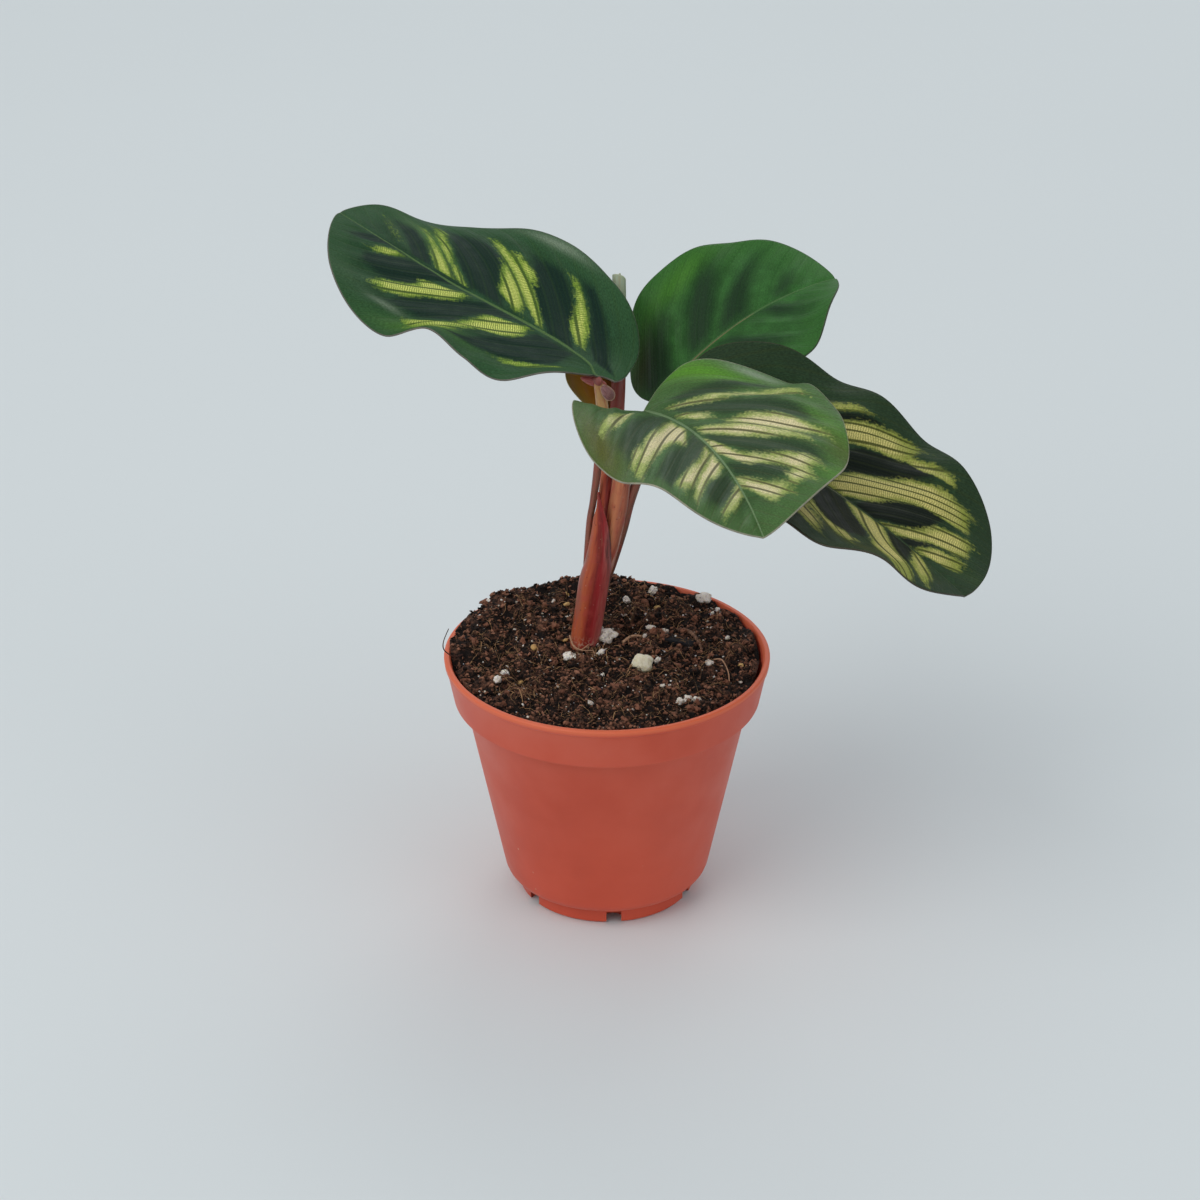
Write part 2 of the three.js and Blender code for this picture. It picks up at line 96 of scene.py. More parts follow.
def bendTube(verts, pathAt, halfWidthsAt, grain=None):
    # a unit tube laid along a path, with its half-widths across x and y at each height
    length = sum((pathAt((k + 1) / 20) - pathAt(k / 20)).length for k in range(20))
    rings = {}
    for vert in verts:
        t = vert.co.z
        key = round(t, 5)
        if key not in rings:
            tangent = directionAt(pathAt, t)
            reference = Vector((1, 0, 0)) if abs(tangent.x) < 0.9 else Vector((0, 1, 0))
            across = (reference - tangent * reference.dot(tangent)).normalized()
            halfX, halfY = halfWidthsAt(t)
            rings[key] = (pathAt(t), across * halfX, tangent.cross(across) * halfY)
        centre, across, back = rings[key]
        if grain is not None:
            vert[grain] = (vert.co.x, vert.co.y, t * length)
        vert.co = centre + across * vert.co.x + back * vert.co.y


def copiesOf(bm, count):
    # copies of the one shape in the mesh, made by doubling it, as lists of vertices
    number = bm.verts.layers.int.new("number")
    made = 1
    while made < count:
        copied = bmesh.ops.duplicate(bm, geom=bm.verts[:] + bm.edges[:] + bm.faces[:])
        for item in copied["geom"]:
            if isinstance(item, bmesh.types.BMVert):
                item[number] += made
        made *= 2
    groups = [[] for _ in range(made)]
    for vert in bm.verts:
        groups[vert[number]].append(vert)
    bmesh.ops.delete(bm, geom=[vert for group in groups[count:] for vert in group], context="VERTS")
    return groups[:count]


def objectOf(name, bm, materials=()):
    # the mesh is brought to metres and put in the scene
    bmesh.ops.scale(bm, vec=(millimetre, millimetre, millimetre), verts=bm.verts)
    mesh = bpy.data.meshes.new(name)
    bm.to_mesh(mesh)
    bm.free()
    for material in materials:
        mesh.materials.append(material)
    made = bpy.data.objects.new(name, mesh)
    bpy.context.scene.collection.objects.link(made)
    return made


def finishPiece(name, bm, materials, node, wall=None, smooth=True):
    # a piece that rides the body and stands for its node; a sheet also gets its wall
    for face in bm.faces:
        face.smooth = smooth
    piece = objectOf(name, bm, materials)
    if wall is not None:
        shell = piece.modifiers.new("wall", "SOLIDIFY")
        shell.thickness = wall * millimetre
        shell.offset = 0
        shell.use_even_offset = True
        shell.material_offset = min(1, len(materials) - 1)
        shell.material_offset_rim = min(2, len(materials) - 1)
    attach(piece, "root")
    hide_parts(node)
    return piece


def tubePiece(name, points, widthsAt, shape, skin, node):
    # a tube whose grain attribute runs round it and along it
    bm = bmesh.new()
    grain = bm.verts.layers.float_vector.new("grain")
    unitTube(bm, shape["sides"], shape["rows"])
    bendTube(bm.verts, lambda t: pathThrough(points, t), widthsAt, grain)
    bmesh.ops.recalc_face_normals(bm, faces=bm.faces)
    finishPiece(name, bm, [skin], node)


# materials: a skin is one procedural material, whose colour is painted on coat by coat

class Skin:
    def __init__(self, name, roughness, specular=0.5, coat=0.0, glow=0.0, glowDepth=1.0):
        self.material = bpy.data.materials.new(name)
        self.material.use_nodes = True
        self.tree = self.material.node_tree
        self.shader = self.tree.nodes["Principled BSDF"]
        self.set("Roughness", roughness)
        self.set("Specular IOR Level", specular)
        self.set("Coat Weight", coat)
        self.set("Coat Roughness", 0.2)
        self.set("Subsurface Weight", glow)
        self.set("Subsurface Radius", (1.0, 0.8, 0.35))
        self.set("Subsurface Scale", glowDepth * millimetre)
        self.place = self.node("TexCoord").outputs["Object"]
        self.colour = None

    def feed(self, socket, value):
        if isinstance(value, bpy.types.NodeSocket):
            self.tree.links.new(value, socket)
        elif socket.type == "RGBA":
            socket.default_value = (*value, 1.0)
        else:
            socket.default_value = value

    def set(self, socket, value):
        self.feed(self.shader.inputs[socket], value)

    def node(self, kind, inputs=None, **settings):
        made = self.tree.nodes.new("ShaderNode" + kind)
        for setting, value in settings.items():
            setattr(made, setting, value)
        for socket, value in (inputs or {}).items():
            self.feed(made.inputs[socket], value)
        return made

    def calculate(self, operation, first, second=0.0, clamp=False):
        return self.node("Math", {0: first, 1: second}, operation=operation, use_clamp=clamp).outputs[0]

    def add(self, first, *others):
        for other in others:
            first = self.calculate("ADD", first, other)
        return first

    def times(self, first, second):
        return self.calculate("MULTIPLY", first, second)

    def mix(self, share, first, second, way="MIX"):
        return self.node("Mix", {0: share, 6: first, 7: second}, data_type="RGBA", blend_type=way).outputs[2]

    def step(self, value, low, high, fromValue=0.0, toValue=1.0):
        inputs = {"Value": value, "From Min": low, "From Max": high, "To Min": fromValue, "To Max": toValue}
        return self.node("MapRange", inputs, interpolation_type="SMOOTHSTEP").outputs["Result"]

    def line(self, value, outer, inner):
        # a line halfway between whole numbers
        offset = self.add(self.calculate("FRACT", value), -0.5)
        return self.step(self.calculate("ABSOLUTE", offset), outer, inner)

    def grain(self, vector, scale, detail=3.0, roughness=0.55, stretch=(1, 1, 1)):
        stretched = self.node("Mapping", {"Vector": vector, "Scale": stretch}).outputs[0]
        inputs = {"Vector": stretched, "Scale": scale, "Detail": detail, "Roughness": roughness}
        return self.node("TexNoise", inputs).outputs["Fac"]

    def cells(self, vector, scale):
        return self.node("TexVoronoi", {"Vector": vector, "Scale": scale}).outputs["Distance"]

    def ramp(self, value, stops):
        made = self.node("ValToRGB", {"Fac": value})
        elements = made.color_ramp.elements
        while len(elements) < len(stops):
            elements.new(0.5)
        for element, (place, colour) in zip(elements, stops):
            element.position = place
            element.color = (*colour, 1.0)
        return made.outputs["Color"]

    def mark(self, name, output="Vector"):
        return self.node("Attribute", attribute_name=name).outputs[output]

    def split(self, vector):
        return self.node("SeparateXYZ", {0: vector}).outputs

    def paint(self, share, colour, strength=None):
        share = share if strength is None else self.times(share, strength)
        self.colour = self.mix(share, self.colour, colour)

    def finish(self, height, strength, depth, sheen=None):
        # the colour, a relief that is depth millimetres high and, where given, an uneven sheen
        self.set("Base Color", self.colour)
        if sheen is not None:
            self.set("Roughness", self.step(*sheen))
        relief = {"Strength": strength, "Distance": depth * millimetre, "Height": height}
        self.set("Normal", self.node("Bump", relief).outputs["Normal"])
        return self.material


def shaded(colour, share):
    return tuple(min(1, share * part) for part in colour)


# camera

view = {"distance": 528.584, "side": -1.289, "height": 332.076, "lookDown": 27.3, "lens": 97.74, "sensor": 36}

camera = bpy.data.objects.new("camera", bpy.data.cameras.new("camera"))
camera.location = Vector((view["side"], -view["distance"], view["height"])) * millimetre
camera.rotation_euler = (math.radians(90 - view["lookDown"]), 0, 0)
camera.data.lens = view["lens"]
camera.data.sensor_width = view["sensor"]
camera.data.clip_start = 0.01
bpy.context.scene.collection.objects.link(camera)
bpy.context.scene.camera = camera
print("camera in place")


# pot

pot = {
    "height": 48.5, "rimRadius": 30, "bandHeight": 8.2, "bandFoot": 28.4, "bodyTop": 26.3, "bodyFoot": 19.3,
    "bodyFootHeight": 5.4, "footRadius": 16.5, "footHeight": 2.9, "wall": 1.1, "floor": 1.6, "steps": 144,
    "holes": 6, "holeRadius": 2, "holeSides": 24, "holeFromAxis": 15, "holeHeight": 2.4, "firstHole": 214.5,
    "edgeRound": 0.22, "edgeAngle": 28, "sharpAngle": 38,
    "plastic": [(0.3, (0.55, 0.074, 0.036)), (0.5, (0.62, 0.088, 0.044)), (0.72, (0.68, 0.104, 0.054))],
    "upperSheen": (0.60, 0.15, 0.10), "lip": (0.74, 0.16, 0.07), "dust": (0.62, 0.30, 0.20),
}


def potProfile():
    # up the outside, over the lip and down the inside
    top, wall, rim = pot["height"], pot["wall"], pot["rimRadius"]
    foot, step = pot["footRadius"], pot["footHeight"]
    body, bodyTop, low = pot["bodyFoot"], pot["bodyTop"], pot["bodyFootHeight"]
    band, bandFoot = pot["bandFoot"], top - pot["bandHeight"]
    return [
        (0, 0), (foot - 0.4, 0), (foot, 0.4), (foot, step), (foot + 0.9, step + 0.3), (foot + 2, step + 1),
        (foot + 2.5, step + 1.7), (body, low), (bodyTop, bandFoot - 0.5), (band - 0.1, bandFoot),
        (band, bandFoot + 0.5), (rim - 0.35, top - 1.35), (rim - 0.1, top - 1.15), (rim, top - 0.25),
        (rim - 0.3, top), (rim - wall + 0.2, top), (rim - wall - 0.1, top - 0.4),
        (band - wall, bandFoot + 1.1), (bodyTop - wall + 0.05, bandFoot + 0.6), (body - wall, low + 0.4),
        (foot + 0.7, step + 1.7), (foot - wall, step + 1.3), (foot - wall, pot["floor"]), (0, pot["floor"]),
    ]


def potPlastic():
    skin = Skin("terracottaPlastic", 0.42, specular=0.28, glow=0.12, glowDepth=1.2)
    cloud = skin.grain(skin.place, 38, detail=4)
    height = skin.split(skin.place)[2]
    skin.colour = skin.ramp(cloud, pot["plastic"])
    # a faint painted sheen: the upper part lighter and pinker in patches
    skin.paint(skin.times(skin.step(height, 0.010, 0.046), skin.step(cloud, 0.3, 0.7)), pot["upperSheen"], 0.4)
    # painted highlight: a brighter orange line along the lip's thin top edge
    skin.paint(skin.step(height, 0.0474, 0.0480), pot["lip"], 0.8)
    dust = skin.step(skin.cells(skin.place, 520), 0.16, 0.05)
    patches = skin.step(skin.grain(skin.place, 120, detail=2), 0.62, 0.7)
    skin.paint(skin.times(dust, patches), pot["dust"])
    wear = skin.grain(skin.place, 90, detail=5)
    return skin.finish(skin.grain(skin.place, 900), 0.12, 0.06, (wear, 0.2, 0.8, 0.36, 0.52))


def makePot():
    bm = bmesh.new()
    turnProfile(bm, potProfile(), pot["steps"])
    piece = finishPiece("potShell", bm, [potPlastic()], "pot")
    cutter = bmesh.new()
    for k in range(pot["holes"]):
        angle = math.radians(pot["firstHole"] + 360 * k / pot["holes"])
        place = Vector((math.cos(angle), math.sin(angle), 0)) * pot["holeFromAxis"]
        bmesh.ops.create_cone(cutter, cap_ends=True, segments=pot["holeSides"], radius1=pot["holeRadius"],
                              radius2=pot["holeRadius"], depth=2 * pot["holeHeight"],
                              matrix=Matrix.Translation(place))
    drill = objectOf("drainCutter", cutter)
    holes = piece.modifiers.new("holes", "BOOLEAN")
    holes.object = drill
    edgeRound = piece.modifiers.new("edges", "BEVEL")
    edgeRound.width = pot["edgeRound"] * millimetre
    edgeRound.segments = 2
    edgeRound.limit_method = "ANGLE"
    edgeRound.angle_limit = math.radians(pot["edgeAngle"])
    seen = piece.evaluated_get(bpy.context.evaluated_depsgraph_get())
    solid = bpy.data.meshes.new_from_object(seen)
    piece.modifiers.clear()
    piece.data = solid
    bpy.data.objects.remove(drill)
    solid.set_sharp_from_angle(angle=math.radians(pot["sharpAngle"]))


makePot()
print("pot made")


# soil

soil = {
    "level": 47.9, "edge": 28.05, "tilt": 0.024, "ringStep": 0.34, "steps": 360, "heap": 0.7,
    "edgeDrop": 0.35, "gap": 0.3, "foot": 1.9, "rough": 1.35, "roughScale": 0.24, "spill": 1.3,
    "mounds": [  # x, y, rise and spread
        (-6.5, 24, 2.1, 3.6), (2, 23, 1.5, 3.6), (-15, 12, 0.9, 6), (-18, 20, 1.3, 4.5), (-24, 9, 1.2, 4.5),
        (-27, 2, 1.2, 4), (-21, 17, 0.8, 4), (4.2, 11, -2.2, 2.6), (4.6, 6.5, -1.4, 1.8), (-19, -2, -0.7, 3),
    ],
    "crumbs": 6400, "crumbSize": (0.15, 0.52), "clods": 420, "clodSize": (0.4, 1.0),
    "crumbTone": (-0.55, 0.5), "fibres": 1300, "fibreLength": (0.8, 4.4), "fibreRadius": (0.03, 0.09),
    "fibreBow": (-0.3, 0.3), "fibreLift": (-0.02, 0.35), "fibreTone": (-0.4, 0.4),
    "barkChip": {"place": (13.6, 4.6, 48.3), "size": (6.0, 2.2, 0.7), "turn": -28},
    "tones": {  # darkest and lightest colour of each finish
        "pottingSoil": ((0.006, 0.003, 0.002), (0.36, 0.160, 0.094)),
        "peatCrumb": ((0.008, 0.004, 0.003), (0.35, 0.160, 0.096)),
        "peatClod": ((0.006, 0.003, 0.002), (0.25, 0.106, 0.062)),
        "rootFibre": ((0.020, 0.009, 0.005), (0.60, 0.35, 0.17)),
        "looseRoot": ((0.050, 0.018, 0.012), (0.52, 0.30, 0.18)),
        "bark": ((0.006, 0.006, 0.008), (0.040, 0.034, 0.034)),
    },
}


def spill(x, y):
    # how far the soil lies over the rim, at the back left
    return smoothStep(-8, 6, y) * smoothStep(16, -2, x)


def soilHeight(x, y):
    towardsBack = smoothStep(-8, 16, y)
    fromEdge = smoothStep(soil["edge"], soil["edge"] - 3, math.hypot(x, y))
    height = soil["level"] + soil["tilt"] * y + soil["heap"] * towardsBack
    height -= soil["edgeDrop"] * (1 - fromEdge) * (1 - towardsBack)
    for moundX, moundY, rise, spread in soil["mounds"]:
        height += rise * math.exp(-((x - moundX) ** 2 + (y - moundY) ** 2) / spread ** 2)
    return height


def soilRough(x, y):
    return noise.fractal(Vector((x, y, 3.1)) * soil["roughScale"], 0.75, 2.2, 6)


def soilSurface(x, y):
    limit = soil["edge"] + soil["spill"] * spill(x, y)
    beyond = smoothStep(limit - 0.4, limit + 0.5, math.hypot(x, y)) * max(spill(x, y), 0.3)
    height = soilHeight(x, y) + soil["rough"] * (soilRough(x, y) - 0.2)
    return height + (pot["height"] + 0.1 - height) * beyond


def peat(name):
    darkest, lightest = soil["tones"][name]
    middle = tuple(0.65 * a + 0.35 * b for a, b in zip(darkest, lightest))
    skin = Skin(name, 0.9, specular=0.25)
    coarse = skin.grain(skin.place, 600, detail=6, roughness=0.75)
    fine = skin.grain(skin.place, 2300, detail=4, roughness=0.7, stretch=(1, 1, 0.4))
    value = skin.add(skin.times(coarse, 0.5), skin.times(fine, 0.5))
    # each piece's own tone, with painted shade: darker in the soil's hollows and under the grains
    value = skin.calculate("ADD", value, skin.times(skin.mark("toneAndShade", "Fac"), 0.4), clamp=True)
    skin.colour = skin.ramp(value, [(0.42, darkest), (0.54, middle), (0.68, lightest)])
    return skin.finish(value, 1.0, 0.5, (coarse, 0.3, 0.7, 0.72, 0.96))


def tonedMesh():
    bm = bmesh.new()
    return bm, bm.verts.layers.float.new("toneAndShade")


def makeSoilBed():
    bandFoot = pot["height"] - pot["bandHeight"]
    inner = pot["footRadius"] - pot["wall"] - soil["gap"]
    body = pot["bodyFoot"] - pot["wall"] - soil["gap"]
    rings = [soil["edge"] - k * soil["ringStep"] for k in range(int(soil["edge"] / soil["ringStep"]))]
    flatTop = soil["level"] - 0.4
    profile = [
        (0, soil["foot"]), (inner, soil["foot"]), (inner, pot["footHeight"] + 1.6),
        (pot["footRadius"] + 0.5, pot["footHeight"] + 2), (body, pot["bodyFootHeight"] + 0.7),
        (pot["bodyTop"] - 1.4, bandFoot + 0.9), (pot["bandFoot"] - 1.5, bandFoot + 1.5),
    ] + [(r, flatTop) for r in rings] + [(0, flatTop)]
    bm, toneAndShade = tonedMesh()
    turnProfile(bm, profile, soil["steps"])
    for vert in bm.verts:
        # painted shade: the rough soil lighter where it rises, darker in its hollows
        vert[toneAndShade] = 0.35 * soilRough(vert.co.x, vert.co.y) - 0.2
        if vert.co.z > flatTop - 0.01:
            x, y, _ = vert.co
            outer = smoothStep(22, soil["edge"], math.hypot(x, y))
            push = 1 + soil["spill"] / soil["edge"] * spill(x, y) * outer
            vert.co = (x * push, y * push, soilSurface(x * push, y * push))
    finishPiece("soilBed", bm, [peat("pottingSoil")], "soil")


def scatterSpot(reach):
    radius = reach * math.sqrt(random.random())
    angle = random.uniform(0, 2 * math.pi)
    return radius * math.cos(angle), radius * math.sin(angle)


def shapeLump(verts, place, size, squash, jag, slender):
    # one irregular grain, pushed out of round by noise
    turn = Matrix.Rotation(random.uniform(0, 6.3), 3, noise.random_unit_vector())
    shift = Vector((random.uniform(0, 50), random.uniform(0, 50), 0))
    flatness = random.uniform(0.55, 1) - 0.6 * slender
    stretch = Vector((1 + slender, flatness, random.uniform(0.45, 0.9) - slender))
    for vert in verts:
        push = 1 + jag * noise.noise(vert.co * 1.6 + shift)
        local = turn @ (vert.co * stretch * push)
        vert.co = Vector(place) + Vector((local.x, local.y, local.z * squash)) * size


def makeLumps(name, spots, subdivisions, skin, squash, jag=0.45, slender=0.0, smooth=True, sunk=0.35):
    # spots are x, y, size and tone; each grain is pressed a little into the soil, with painted shade: lighter
    # on top, darker underneath
    bm, toneAndShade = tonedMesh()
    bmesh.ops.create_icosphere(bm, subdivisions=subdivisions, radius=1)
    for verts, (x, y, size, shade) in zip(copiesOf(bm, len(spots)), spots):
        level = soilSurface(x, y) + sunk * size
        shapeLump(verts, (x, y, level), size, squash, jag, slender)
        for vert in verts:
            vert[toneAndShade] = shade + 0.3 * (vert.co.z - level) / size
    finishPiece(name, bm, [skin], "soil", smooth=smooth)


def crumbSpots(count, sizes):
    # at the back the soil is heaped up to the rim, so crumbs lie further out there
    spots = []
    for _ in range(count):
        x, y = scatterSpot(1)
        reach = soil["edge"] - 0.6 + 1.9 * spill(soil["edge"] * x, soil["edge"] * y)
        size = random.uniform(*sizes) * random.uniform(0.5, 1)
        spots.append((reach * x, reach * y, size, random.uniform(*soil["crumbTone"])))
    return spots


def makeCrumbs():
    for name, finish, subdivisions, slender in (("crumb", "peatCrumb", 1, 0.1), ("clod", "peatClod", 2, 0.0)):
        spots = crumbSpots(soil[name + "s"], soil[name + "Size"])
        makeLumps(finish + "s", spots, subdivisions, peat(finish), 0.9, jag=1.2,
                  slender=slender, smooth=False)


def fibrePath(start, turn, length, bow, lift):
    along = Vector((math.cos(turn), math.sin(turn), 0))
    aside = Vector((-along.y, along.x, 0))

    def pathAt(t):
        point = start + along * length * (t - 0.5) + aside * bow * math.sin(math.pi * t) * length
        point.z = soilSurface(point.x, point.y) + 0.1 + lift * math.sin(math.pi * t) * length
        return point
    return pathAt


def makeFibres():
    bm, toneAndShade = tonedMesh()
    unitTube(bm, 4, 6)
    for verts in copiesOf(bm, soil["fibres"]):
        length = random.uniform(*soil["fibreLength"])
        x, y = scatterSpot(soil["edge"] - 1.5 - length / 2)
        path = fibrePath(Vector((x, y, 0)), random.uniform(0, 6.3), length, random.uniform(*soil["fibreBow"]),
                         random.uniform(*soil["fibreLift"]))
        radius = random.uniform(*soil["fibreRadius"])
        shade = random.uniform(*soil["fibreTone"])
        for vert in verts:
            vert[toneAndShade] = shade
        bendTube(verts, path, lambda t: (radius * (1.15 - t), radius * (1.15 - t)))
    finishPiece("rootFibres", bm, [peat("rootFibre")], "soil")


litter = {  # loose roots and sticks: points, thickness and tone
    "rimRoot": ([(-26.5, -1.2, 48.6), (-28.0, -2.6, 48.9), (-29.5, -2.8, 50.0), (-30.0, -2.8, 51.0),
                 (-29.8, -2.8, 52.5), (-28.9, -2.8, 54.8)], 0.13, -0.3),
    "redStick": ([(13.2, 9.2, 48.0), (15.0, 7.6, 48.9), (16.4, 4.6, 49.1), (17.6, 1.4, 48.2)], 0.42, 0.0),
    "paleStick": ([(2.9, 3.9, 48.4), (4.3, 5.0, 49.0), (5.6, 5.3, 49.1), (7.2, 5.6, 48.6)], 0.26, 0.45),
    "footFibre": ([(-6.4, 1.9, 49.3), (-5.6, 0.9, 48.8), (-4.2, 0.2, 48.7), (-2.5, 0.4, 48.4),
                   (-2.4, -1.6, 47.4)], 0.12, 0.7),
    "footHusk": ([(-6.9, 2.6, 50.6), (-6.2, 1.4, 49.0), (-5.0, 0.9, 48.4), (-3.4, 0.8, 49.6)], 0.14, 0.55),
    "looseRoot": ([(19.6, -2.4, 48.2), (21, -4.4, 49.2), (22, -7.6, 48.6), (22.2, -9.6, 47.6)], 0.14, 0.45),
}


def makeLitter():
    bm, toneAndShade = tonedMesh()
    unitTube(bm, 8, 24)
    for verts, (points, radius, shade) in zip(copiesOf(bm, len(litter)), litter.values()):
        for vert in verts:
            vert[toneAndShade] = shade
        bendTube(verts, lambda t: pathThrough(points, t),
                 lambda t: (radius * (1.1 - 0.5 * t), radius * (1.1 - 0.5 * t)))
    finishPiece("rootLitter", bm, [peat("looseRoot")], "soil")


def makeBarkChip():
    bm, toneAndShade = tonedMesh()
    bmesh.ops.create_cube(bm, size=1)
    bmesh.ops.subdivide_edges(bm, edges=bm.edges, cuts=5, use_grid_fill=True)
    chip = soil["barkChip"]
    turn = Matrix.Rotation(math.radians(chip["turn"]), 3, "Z")
    for vert in bm.verts:
        push = 1 + 0.35 * noise.noise(vert.co * 3)
        vert[toneAndShade] = -0.1
        vert.co = turn @ (vert.co * Vector(chip["size"]) * push) + Vector(chip["place"])
    finishPiece("barkChip", bm, [peat("bark")], "soil")


grains = {  # grains of a set place are x, y and size
    "scattered": 420, "size": (0.12, 0.42),
    "large": [
        (-0.2, 4.6, 1.8), (-1.1, 0.2, 0.85), (9.2, -2.2, 0.75), (8.2, 8.4, 0.95), (10.7, 8.7, 0.95),
        (18.3, 18.8, 1.35), (8.8, 22.6, 0.9), (3.7, 18.8, 0.85), (20.8, 15.6, 0.65), (19.8, 14.4, 0.5),
        (22.4, 5.6, 0.6), (18.8, -4.1, 0.75), (13.1, -16.4, 0.8), (14.5, -16, 0.85), (16.1, -16.2, 0.8),
        (-3, -17.3, 0.6), (-0.9, -7.2, 0.55), (10.1, -11.5, 0.5), (24.3, -9.1, 0.4), (-18.6, -7.6, 0.85),
        (-19.9, -11, 0.8), (-7.2, -0.9, 1.0), (-6.2, -1.8, 0.7), (-10.1, 17.7, 0.5), (-22.3, 17.3, 0.45),
        (-17.3, 15.6, 0.5), (3.2, 14.5, 0.5), (7, 5, 0.5),
    ],
    "cream": [(6.4, -3.4, 1.95)],
    "seeds": [(-7.6, 17.3, 0.75), (-13.5, 1.3, 0.8), (-7.7, 5.2, 0.6), (-15.7, -8.7, 0.7), (-7.7, 20.5, 0.65),
              (9.5, 17.5, 0.7), (24.6, -4, 0.6), (-4.6, 12, 0.55)],
    "tones": {  # deep, middle and light colour, and how pitted the grain is
        "perlite": ((0.22, 0.17, 0.14), (0.62, 0.54, 0.46), (0.88, 0.83, 0.75), 0.75),
        "creamGrain": ((0.30, 0.25, 0.12), (0.64, 0.57, 0.36), (0.84, 0.79, 0.60), 0.1),
        "seedHusk": ((0.20, 0.095, 0.025), (0.46, 0.26, 0.09), (0.66, 0.44, 0.18), 0.1),
    },
}


def mineral(name):
    deep, middle, light, pitted = grains["tones"][name]
    skin = Skin(name, 0.75, specular=0.3, glow=0.2, glowDepth=0.5)
    cloud = skin.grain(skin.place, 900, detail=5, roughness=0.65)
    # the grain's tone, with painted shade darker underneath
    value = skin.add(cloud, skin.times(skin.mark("toneAndShade", "Fac"), 0.3))
    skin.colour = skin.ramp(value, [(0.25, deep), (0.45, middle), (0.7, light)])
    # painted shade: the pits filled with the deep colour, the more so the more pitted the grain is
    skin.paint(skin.step(skin.cells(skin.place, 1500), 0.34, 0.14), deep, pitted)
    relief = skin.add(skin.cells(skin.place, 1700), cloud)
    return skin.finish(relief, 0.4 + 0.4 * pitted, 0.3, (cloud, 0.3, 0.7, 0.6, 0.85))


def makePerlite():
    skin = mineral("perlite")
    large = [(x, y, size, random.uniform(-0.2, 0.6)) for x, y, size in grains["large"]]
    makeLumps("perliteLarge", large, 3, skin, 0.9, jag=0.55, sunk=0.6)
    small = []
    for _ in range(grains["scattered"]):
        x, y = scatterSpot(soil["edge"] - 1)
        size = random.uniform(*grains["size"]) * random.uniform(0.5, 1)
        small.append((x, y, size, random.uniform(-0.6, 0.8)))
    makeLumps("perliteSmall", small, 1, skin, 0.85)
    creams = [(*spot, 0.4) for spot in grains["cream"]]
    makeLumps("creamGrain", creams, 3, mineral("creamGrain"), 1.0, jag=0.3, sunk=0.5)
    seeds = [(*spot, 0.1) for spot in grains["seeds"]]
    makeLumps("seedHusks", seeds, 2, mineral("seedHusk"), 0.8, jag=0.3, sunk=0.5)


random.seed(11)
noise.seed_set(7)
makeSoilBed()
makeCrumbs()
makeFibres()
makeLitter()
makeBarkChip()
makePerlite()
print("soil made")


# shoot: sheaths and stalks

# the ramps hold the stalks' own orange, crimson and tan with painted light: lighter towards the left, painted
# shade at the right edge and, on the sheath and pale ramps, a painted highlight near the right
stalkColoursAndLight = {  # from the left side, across the front, to the right side
    "sheath": [(0.0, (0.32, 0.100, 0.064)), (0.16, (0.46, 0.100, 0.038)), (0.36, (0.34, 0.050, 0.024)),
               (0.52, (0.22, 0.022, 0.018)), (0.7, (0.36, 0.024, 0.027)), (0.88, (0.46, 0.105, 0.090)),
               (1.0, (0.13, 0.040, 0.034))],
    "pale": [(0.0, (0.40, 0.135, 0.065)), (0.35, (0.62, 0.230, 0.105)), (0.7, (0.50, 0.150, 0.080)),
             (0.86, (0.36, 0.110, 0.060)), (0.94, (0.60, 0.340, 0.270)), (1.0, (0.45, 0.210, 0.150))],
    "dull": [(0.0, (0.20, 0.075, 0.052)), (0.4, (0.30, 0.110, 0.074)), (0.75, (0.21, 0.080, 0.048)),
             (1.0, (0.09, 0.036, 0.026))],
    "red": [(0.0, (0.56, 0.170, 0.070)), (0.4, (0.55, 0.105, 0.055)), (0.72, (0.26, 0.036, 0.028)),
            (1.0, (0.12, 0.020, 0.018))],
}

